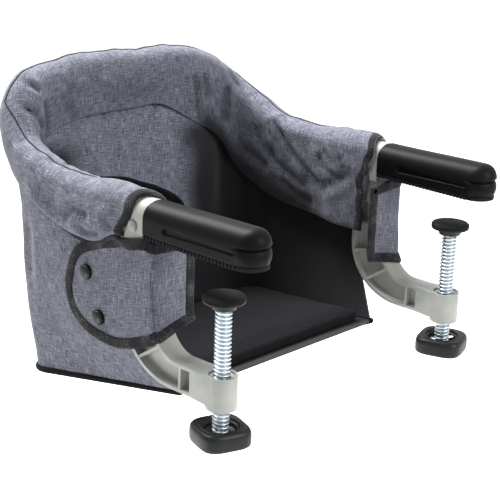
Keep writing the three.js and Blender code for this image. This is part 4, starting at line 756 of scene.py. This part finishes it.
def knob_body(side, label):
    """The clamp's knob. Each ring is a rounded square, half width times cos^(2/squareness) and sin^(2/squareness),
    which becomes round towards the stepped dish and the screw's socket, all turned about the screw."""
    half, z, square = np.array(KNOB_RINGS).T[:, :, None]
    across, ahead = (half * way for way in rounded(ring(112)[None], square))
    x = ARM_X + across * np.cos(KNOB_TURN) - ahead * np.sin(KNOB_TURN)
    y = SCREW_Y + across * np.sin(KNOB_TURN) + ahead * np.cos(KNOB_TURN)
    made = skin("knob_body_" + label, np.stack([x, y, z + 0 * x], -1) * side, KNOB_NYLON, around=True, ends=True)
    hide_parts("clamp_knob_" + label)
    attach(made, "screw_" + label)


def crumple(piece):
    """Gives a piece of the flap a mesh of its own."""
    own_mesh(piece)


# Middle of each snap on the flap, in y and z, and the cap's profile as radius and rise
SNAPS = {"snap_upper": (95.0, -54.0), "snap_lower": (77.0, -96.0)}
SNAP_PROFILE = [
    (0.3, -1.2), (6.8, -1.2), (7.6, -0.5), (7.8, 0.8), (7.8, 2.4), (7.5, 3.7),
    (6.8, 4.6), (5.5, 5.2), (3.6, 5.6), (1.6, 5.8), (0.3, 5.8),
]


def snap_cap(name, place, side, label):
    """A snap's domed cap: a smooth profile of radius and height turned round an axis that points away from the seat."""
    radius, rise = smooth_path(SNAP_PROFILE, 30).T[:, :, None]
    angle = ring(36)[None]
    y, z = place[0] + radius * np.cos(angle), place[1] + radius * np.sin(angle)
    grid = np.stack([FLAP_FACE_X + rise + 0 * angle, y, z], -1)
    made = skin(f"{name}_cap_{label}", grid * side, SNAP_ACETAL, around=True, ends=True)
    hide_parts(f"{name}_{label}")
    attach(made, "frame")
    crumple(made)


def lock_coil(label):
    """The lock's return spring at rest: round wire wound three turns between the button and the bottom of its pocket.
    The real spring closes up as the button is pressed; here it is drawn at rest."""
    low, high = (np.array(corner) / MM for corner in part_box("lock_spring_" + label))
    wire = 0.45
    turn = np.linspace(0, 6 * np.pi, 160)
    radial = np.stack([0 * turn, np.cos(turn), np.sin(turn)], -1)
    centre = (low + high) / 2 + radial * ((high[1] - low[1]) / 2 - wire)
    centre[:, 0] = np.linspace(low[0] + wire, high[0] - wire, len(turn))
    across = unit(np.cross(np.gradient(centre, axis=0), radial))
    made = band("lock_coil_" + label, centre, across, radial, wire, wire, ZINC, around=10, power=2.0)
    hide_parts("lock_spring_" + label)
    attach(made, "frame")
    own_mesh(made)


def grip_cover(side, label):
    """The grip's moulded cover, a cup: the bar's room inside, over the rear edge, forward along the outside and round
    the nose. A section has upright sides up to the shoulder and above them half of an oblong oval; its half width
    follows a quarter circle round the nose and its ridge another. A tapered slot on each side and a groove round the
    nose are pressed in by their distance from a line, and the lip under the groove is rounded."""
    centre_y = GRIP_NOSE_Y + GRIP_HALF
    # Rows along the grip, close together at its rear edge, at both ends of the slot and round the nose
    rear = GRIP_REAR_Y - np.array([0, 0.15, 0.45])
    body = [(11.4, -12, 22), (-13, -19, 18), (-20.5, -101, 56), (-102, -107, 14)]
    nose = centre_y - GRIP_HALF * np.sin(np.linspace(0.03, np.pi / 2 - 0.02, 44))
    y = np.concatenate([rear, *(np.linspace(*stretch) for stretch in body), nose])
    half = np.where(y > centre_y, GRIP_HALF, GRIP_HALF * np.sqrt(np.clip(1 - ((centre_y - y) / GRIP_HALF) ** 2, 0, 1)))
    half = half - np.interp(y, [GRIP_REAR_Y - 0.9, GRIP_REAR_Y - 0.45, GRIP_REAR_Y], [0, 0.12, 0.8])
    bulb = np.clip((GRIP_NOSE_Y + NOSE_ROUND - y) / NOSE_ROUND, 0, 1)
    ridge = lerp(GRIP_HEIGHTS[1], GRIP_HEIGHTS[0], smoothstep(GRIP_NOSE_Y, GRIP_REAR_Y, y))
    ridge = ridge - NOSE_ROUND * (1 - np.sqrt(1 - bulb**2)) - np.interp(y, [GRIP_REAR_Y - 0.9, GRIP_REAR_Y], [0, 0.8])
    # Heights up the side, close together at the slot's edges, then shares of the dome's quarter turn
    near = np.array([0.2, 0.4, 0.7, 1.1, 1.5, 1.9, 2.4])
    slot_low = SLOT_Z - SLOT_HALF[1]
    under = slot_low + np.array([-0.9, -0.4, 0])
    upright = np.concatenate([[6, 8, 9.2], under, slot_low + near, [SLOT_Z], SLOT_Z + 2.9 - near[::-1]])
    foot = np.array([(0, 0), (0.5, 0), (0.9, 0), (0.965, 0), (0.988, 0.2), (1, 0.7)])
    dome = np.concatenate([np.linspace(0, 0.3, 16), np.linspace(0.34, np.pi / 2, 20)])
    share = np.concatenate([foot[:, 0], np.ones(len(upright)), np.clip(np.cos(dome), 0, 1) ** 0.8])[None]
    low = np.concatenate([GRIP_BOTTOM + foot[:, 1], upright])[None] + 0 * y[:, None]
    z = np.concatenate([low, GRIP_SHOULDER + (ridge[:, None] - GRIP_SHOULDER) * np.sin(dome)[None] ** 0.85], 1)
    x = half[:, None] * share
    reach = np.maximum(np.abs(y - sum(SLOT_SPAN) / 2) - (SLOT_SPAN[1] - SLOT_SPAN[0]) / 2 + 2.5, 0)[:, None]
    slot_half = lerp(*SLOT_HALF, smoothstep(*SLOT_SPAN, y))[:, None]
    slot = 1 - smoothstep(-0.22, 0.12, np.hypot(reach, z - SLOT_Z) - slot_half)
    x = x - SLOT_DEPTH * slot * (share > 0.99)
    groove = np.exp(-(((z - GROOVE_Z) / 1.5) ** 4)) * smoothstep(-100, centre_y - 3, y)[:, None]
    lip = 0.1 * np.clip((z - 12) / 7.5, -1, 1) ** 2 * (z < 19.9) * smoothstep(-98, centre_y - 8, y)[:, None]
    x = x * (1 - np.maximum(0.16 * groove, lip))
    deep_y = y[:, None] + np.maximum(0.2 * groove, lip) * np.clip(centre_y - y, 0, None)[:, None]
    outer = np.stack([x, deep_y + 0 * x, z], -1)
    outer = np.concatenate([outer, mirrored(outer)[:, -2:0:-1]], 1)
    room_y = np.array([-100.5, -60, -20, 2.9, 3.1, GRIP_REAR_Y])[:, None]
    first = outer[:1] + np.zeros((len(room_y), 1, 1))
    squeeze = np.where(first[..., 2] > BAR_Z, 0.64, np.where(room_y > 3, 0.985, 0.75))
    room_x, room_z = first[..., 0] * 0.62, BAR_Z + (first[..., 2] - BAR_Z) * squeeze
    room = np.stack([room_x, room_y + 0 * room_x, room_z], -1)
    grid = np.concatenate([room, outer]) + np.array([ARM_X, 0, 0])
    made = skin("grip_cover_" + label, grid * side, GRIP_ABS, around=True, ends=True)
    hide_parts("arm_grip_" + label)
    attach(made, "frame")


sleeve, sleeve_face, sleeve_away, sleeve_back = rim_sleeve()
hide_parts("rim_sleeve")
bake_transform(sleeve)


def crest_piping():
    """Cord in the seam along the sleeve's crest. It sits on the arch at an angle that leans outwards to a point at
    each rear corner, as angle = level - lean e^(-distance / reach), and sinks into the cloth at the front."""
    line = sleeve_face[:, ARCH]
    middle = line[:, line.shape[1] // 2]
    travel = travelled(middle)
    (corner_x, corner_y), lean_share, lean_reach = REAR_CORNER, 0.22, 26
    gaps = (np.hypot(middle[:, 0] - x, middle[:, 1] - corner_y) for x in (corner_x, -corner_x))
    lean = sum(np.exp(-np.abs(travel - travel[np.argmin(gap)]) / lean_reach) for gap in gaps)
    at = (0.5 - lean_share * lean) * (line.shape[1] - 1)
    low = np.floor(at).astype(int)
    rows = np.arange(len(line))
    pick = lambda grid: lerp(grid[rows, low], grid[rows, low + 1], (at - low)[:, None])
    centre = pick(line)
    away = unit(pick(sleeve_away[:, ARCH]))
    sunk = 1.6 * (1 - smoothstep(84, 110, centre[:, 1:2]))
    keep = centre[:, 1] > 70
    centre, away = (centre - away * sunk)[keep], away[keep]
    across = unit(np.cross(away, np.gradient(centre, axis=0)))
    return band("crest_piping", centre, across, away, 1.0, 1.0, PIPING, around=8, power=2.0)


piping = crest_piping()
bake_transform(piping)

LEFT = np.array([1.0, 1.0, 1.0])
RIGHT = np.array([-1.0, 1.0, 1.0])
for label, side in (("left", LEFT), ("right", RIGHT)):
    panel = wall("side_wall_" + label, 0.0, CORNER_SHARE + 0.001, 150, 0.0, side)
    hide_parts("side_panel_" + label)
    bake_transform(panel)
    leaf, tape = flap(side, label)
    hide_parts("flap_" + label)
    for made in (leaf, tape):
        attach(made, "frame")
        crumple(made)
    thread_screw(side, label)
    knob_body(side, label)
    lock_coil(label)
    grip_cover(side, label)
    for snap_name, snap_place in SNAPS.items():
        snap_cap(snap_name, snap_place, side, label)

back = wall("back_wall", CORNER_SHARE - 0.001, 2 - CORNER_SHARE + 0.001, 240, BACK_PADDING, LEFT)
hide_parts("back_panel")
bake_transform(back)


def pad_outline(inset, count):
    """The base's whole edge, moved in: a front corner, round the back, to the other front corner, and closed."""
    half = base_edge(WALL_THICKNESS + 1.3 + inset, count)
    half[:, 1] = np.maximum(half[:, 1], BASE_FRONT[1] + inset)
    return both_sides(half)


def seat_pad():
    """The cushion before it is stuffed: rings of the base's outline from its flat underside up a rounded side to a
    crowned top, each ring moved in and raised; the rings close at the middle above and below."""
    rise = np.array([0, 0, 0, 0, 2, 6, 9, 11, 12, 13.5, 15, 16, 16.5])
    inset = np.array([120, 60, PAD_SIDE, 5, 3.6, 3.6, 5, 8, PAD_SIDE, 30, 60, 90, 120])
    rings = []
    for up, inward in zip(rise, inset):
        outline = pad_outline(min(inward, PAD_SIDE), 60)
        outline = PAD_MIDDLE + (outline - PAD_MIDDLE) * (1 - max(inward - PAD_SIDE, 0) / 130)
        rings.append(np.concatenate([outline, (base_z(outline[:, 1]) + PAD_BOTTOM + up)[:, None]], 1))
    return skin("seat_cushion", np.array(rings), LINING, around=True, ends=True)


def mesh_points(mesh):
    """Every point of a mesh as an array, in metres."""
    points = np.empty(3 * len(mesh.vertices))
    mesh.vertices.foreach_get("co", points)
    return points.reshape(-1, 3)


def stuffed(piece, voxel, pressure, cap, frames=20):
    """Swells a closed cover as if stuffed: remeshed in voxels, then cloth under inner pressure for some frames. No
    point moves further than the cap or below the board that the piece lies on."""
    grain = piece.modifiers.new("grain", "REMESH")
    grain.mode = "VOXEL"
    grain.voxel_size = voxel * MM
    made = bpy.data.meshes.new_from_object(piece.evaluated_get(bpy.context.evaluated_depsgraph_get()))
    piece.modifiers.clear()
    piece.data = made
    before = mesh_points(made)
    swell = piece.modifiers.new("swell", "CLOTH")
    swell.settings.use_pressure = True
    swell.settings.uniform_pressure_force = pressure
    swell.settings.effector_weights.gravity = 0
    for step in range(1, frames + 1):
        bpy.context.scene.frame_set(step)
    after = mesh_points(piece.evaluated_get(bpy.context.evaluated_depsgraph_get()).data)
    piece.modifiers.clear()
    bpy.context.scene.frame_set(1)
    move = after - before
    far = np.linalg.norm(move, axis=1, keepdims=True)
    after = before + move * np.minimum(1, cap * MM / np.maximum(far, 1e-9))
    after[:, 2] = np.maximum(after[:, 2], (base_z(after[:, 1] / MM) + BOARD_TOP) * MM)
    made.vertices.foreach_set("co", after.reshape(-1))
    made.polygons.foreach_set("use_smooth", np.ones(len(made.polygons), bool))
    made.update()
    finer = piece.modifiers.new("finer", "SUBSURF")
    finer.levels = finer.render_levels = 1


cushion = seat_pad()
stuffed(cushion, voxel=5, pressure=4, cap=5)
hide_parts("seat_pad")
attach(cushion, "frame")

# Cord along the base's under edge, and the wall's hem, turned in under the board
EDGE = base_line(-0.4, 1.8)
EDGE_ALONG = unit(np.gradient(EDGE, axis=0))
EDGE_OUT = unit(np.stack([EDGE_ALONG[:, 1], -EDGE_ALONG[:, 0], 0 * EDGE_ALONG[:, 0]], -1))
EDGE_UP = unit(np.cross(EDGE_OUT, EDGE_ALONG))
cord = band("base_piping", EDGE, EDGE_OUT, EDGE_UP, 2.9, 3.1, LINING, power=2.0)
turned_hem = band("base_hem", base_line(4.4, -0.5), EDGE_OUT, EDGE_UP, 5.6, 0.5, LINING, around=10)
for made in (cord, turned_hem):
    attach(made, "frame")

# Tapes at both front ends of the sleeve: round the end, and under the outer hem until they fade behind the arm
TAPE_POINTS = 120
TAPE_INSET, TAPE_HALF, TAPE_PROUD = 4.7, 5.6, 0.9
HEM_END_Y = 150
for label, step in (("left", 1), ("right", -1)):
    row = 0 if step == 1 else -1
    outer_line, inner_line = spaced(sleeve_face[row], TAPE_POINTS), spaced(sleeve_back[row], TAPE_POINTS)
    rearward = unit(spaced(sleeve_face[row + 4 * step], TAPE_POINTS) - outer_line)
    gather = (0.8 + 0.5 * step) * ripple(np.linspace(0, 9, TAPE_POINTS), np.zeros(TAPE_POINTS), 41)[:, None]
    middle = (outer_line + inner_line) / 2 + rearward * (TAPE_INSET + gather)
    through = unit(outer_line - inner_line)
    gap = np.linalg.norm(outer_line - inner_line, axis=1) / 2
    tape = band("sleeve_end_binding_" + label, middle, rearward, through, TAPE_HALF, gap + TAPE_PROUD, BINDING)
    hem = sleeve_face[::step, 0][: len(sleeve_face) // 3]
    hem = hem[hem[:, 1] < HEM_END_Y][2:]
    fade = 1 - smoothstep(100, 148, hem[:, 1])
    ahead = unit(np.gradient(hem, axis=0))
    level = np.array([step * 1.0, 0, 0]) + 0 * hem
    drop = unit(np.cross(level, ahead))
    seam = hem - np.array([0, 0, 1]) * (1.2 * fade)[:, None] - level * 1.5
    lower = band("hem_binding_" + label, seam, drop, level, 1.2 + 2.6 * fade, 1.3, BINDING)
    for made in (tape, lower):
        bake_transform(made)

# A black strip on the inner side of the right arm only: it stands up along the sleeve's seam, widens towards the front,
# turns down past the sleeve's end and goes back to the binding as a loop
STRIP_POINTS = [
    (-167, 96, 37.5), (-160, 76, 39), (-155, 50, 37.7), (-151.8, 30, 34.6), (-150.2, 14, 32.2), (-149.5, 3, 27.5),
    (-149.3, -2, 18), (-149.3, 2, 8), (-149.3, 12, -1), (-149.2, 24, -6), (-149.0, 37, -9),
]
STRIP = smooth_path(STRIP_POINTS, 150)
strip_travel = np.linspace(0, travelled(STRIP)[-1], len(STRIP))
strip_half = 0.9 + 2.4 * smoothstep(0, 36, strip_travel) + 2.0 * smoothstep(44, 66, strip_travel)
strip_half = strip_half - 0.9 * smoothstep(82, 104, strip_travel)
strip_along = unit(np.gradient(STRIP, axis=0))
strip_side = unit(np.array([-1.0, 0, 0]) + strip_along[:, :1] * strip_along)
strip = band("right_arm_black_strip", STRIP, unit(np.cross(strip_side, strip_along)), strip_side, strip_half, 1.1, LINING)
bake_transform(strip)

# Finishes of the solids that stay, and how far the edges of some are rounded, in millimetres
KEPT = {
    "clamp_bracket": NYLON, "grip_sole": SOLE_RUBBER, "screw_nut": ZINC, "knob_pin": ZINC,
    "pressure_pad": KNOB_NYLON, "pad_face": SOLE_RUBBER, "hinge_bolt": BOLT_PAINT, "hinge_nut": BOLT_PAINT,
    "hinge_tongue": TUBE_STEEL, "lock_button": NYLON,
}
ROUNDED = {"clamp_bracket": 0.7, "grip_sole": 0.35, "pressure_pad": 0.5}
SOLIDS = {f"{name}_{label}": (name, made) for name, made in KEPT.items() for label in ("left", "right")}
SOLIDS["back_hoop"] = ("back_hoop", TUBE_STEEL)
SOLIDS["seat_board"] = ("seat_board", BOARD_PP)
SMOOTH_LIMIT, EDGE_LIMIT = np.radians([50, 35])
WELD_GAP = 0.00001


def smooth_by_angle(limit):
    """Geometry nodes that shade a mesh smooth except along edges that bend more than the limit."""
    group = bpy.data.node_groups.new("smooth_by_angle", "GeometryNodeTree")
    for way in ("INPUT", "OUTPUT"):
        group.interface.new_socket("Geometry", in_out=way, socket_type="NodeSocketGeometry")
    kinds = ("NodeGroupInput", "NodeGroupOutput", "GeometryNodeInputMeshEdgeAngle", "FunctionNodeCompare")
    start, end, angle, under = map(group.nodes.new, kinds)
    under.operation = "LESS_THAN"
    under.inputs[1].default_value = limit
    faces, edges = (group.nodes.new("GeometryNodeSetShadeSmooth") for _ in range(2))
    faces.domain, edges.domain = "FACE", "EDGE"
    for source, target in (
        (start, faces.inputs["Geometry"]), (faces, edges.inputs["Geometry"]), (angle, under.inputs[0]),
        (under, edges.inputs["Shade Smooth"]), (edges, end.inputs[0]),
    ):
        group.links.new(source.outputs[0], target)
    return group


SMOOTH = smooth_by_angle(SMOOTH_LIMIT)
for node_name, (kind, material) in SOLIDS.items():
    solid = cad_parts[node_name]
    for slot in solid.material_slots:
        slot.link = "OBJECT"
        slot.material = material
    joined = solid.modifiers.new("join", "WELD")
    joined.merge_threshold = WELD_GAP
    if kind in ROUNDED:
        edge = solid.modifiers.new("edge", "BEVEL")
        edge.width = ROUNDED[kind] * MM
        edge.segments = 2
        edge.limit_method = "ANGLE"
        edge.angle_limit = EDGE_LIMIT
    solid.modifiers.new("smooth", "NODES").node_group = SMOOTH


def stand(thing, axes, place):
    """Sets an object at its place, turned to its three axes."""
    turn = np.eye(4)
    turn[:3, :3], turn[:3, 3] = np.stack(axes, 1), place
    thing.matrix_world = Matrix(turn.tolist())
    bpy.context.collection.objects.link(thing)


# Camera at the photograph's place, in metres, with its turns in degrees and its lens in millimetres
YAW, PITCH, ROLL = np.radians([-46.903, 18.149, 1.967])
CAMERA_PLACE = (-1.04497, -0.92480, 0.40800)
UPRIGHT = np.array([0, 0, 1.0])
ahead_flat = -np.array([np.sin(YAW), -np.cos(YAW), 0.0])
right = np.cross(ahead_flat, UPRIGHT)
ahead = np.cos(PITCH) * ahead_flat - np.sin(PITCH) * UPRIGHT
above = np.cross(right, ahead)
right, above = np.cos(ROLL) * right + np.sin(ROLL) * above, -np.sin(ROLL) * right + np.cos(ROLL) * above
lens = bpy.data.cameras.new("camera")
lens.sensor_width = 36
lens.lens = 104.4
camera = bpy.data.objects.new("camera", lens)
stand(camera, (right, above, -ahead), CAMERA_PLACE)
bpy.context.scene.camera = camera


def lamp(name, place, target, size, power):
    """A square soft light that faces its target."""
    data = bpy.data.lights.new(name, "AREA")
    data.size = size
    data.energy = power
    away = unit(np.array(place, float) - np.array(target, float))
    side = unit(np.cross(UPRIGHT, away))
    stand(bpy.data.objects.new(name, data), (side, np.cross(away, side), away), place)


lamp("key", (0.0, 1.0, 1.5), (0, 0.1, 0), 1.2, 88)
lamp("front", (0.3, -2.0, 1.0), (0, 0, 0), 1.2, 37)
lamp("low", (-0.8, 0.3, -0.45), (-0.17, 0.15, -0.18), 0.3, 1.4)


def shows_background(tree):
    """1 for the rays that show the background as it is: from the camera, off gloss and through clear material."""
    ray = add(tree, "LightPath")
    gloss = add(tree, "Math", {0: ray.outputs["Is Camera Ray"], 1: ray.outputs["Is Glossy Ray"]}, operation="MAXIMUM")
    every = add(tree, "Math", {0: gloss.outputs[0], 1: ray.outputs["Is Transmission Ray"]}, operation="MAXIMUM")
    return every.outputs[0]


FLOOR_Z = -500.0
FLOOR_REACH = 6000
WHITE = (1, 1, 1, 1)
reach = np.linspace(-FLOOR_REACH, FLOOR_REACH, 25)
floor_grid = np.stack(np.broadcast_arrays(reach[:, None], reach[None], np.array([[FLOOR_Z]])), -1)
# Studio paper, matt and near white
paper, paper_tree, paper_shader = finish("white_paper_floor", {"Roughness": 0.9})
grain = add(paper_tree, "TexNoise", {"Vector": add(paper_tree, "TexCoord").outputs["Object"], "Scale": 30.0})
tone = add(paper_tree, "ValToRGB", {0: grain.outputs[0]})
stops(tone, [(0.0, "#f2f2f2"), (1.0, "#fafafa")])
plug(paper_tree, paper_shader, {"Base Color": tone.outputs[0]})
glow = add(paper_tree, "Emission", {"Color": WHITE, "Strength": 0.7})
lit = add(paper_tree, "AddShader", {0: paper_shader.outputs[0], 1: glow.outputs[0]})
chosen = add(paper_tree, "MixShader", {0: shows_background(paper_tree), 1: paper_shader.outputs[0], 2: lit.outputs[0]})
plug(paper_tree, paper_tree.nodes["Material Output"], {"Surface": chosen.outputs[0]})
floor = skin("floor", floor_grid, paper)

world = bpy.data.worlds.new("studio")
bpy.context.scene.world = world
world.use_nodes = True
sky = world.node_tree
sky.nodes.clear()
soft = add(sky, "Background", {"Color": WHITE, "Strength": 0.28})
white = add(sky, "Background", {"Color": WHITE, "Strength": 1.0})
mixed = add(sky, "MixShader", {0: shows_background(sky), 1: soft.outputs[0], 2: white.outputs[0]})
add(sky, "OutputWorld", {"Surface": mixed.outputs[0]})

bpy.context.scene.view_settings.view_transform = "Standard"
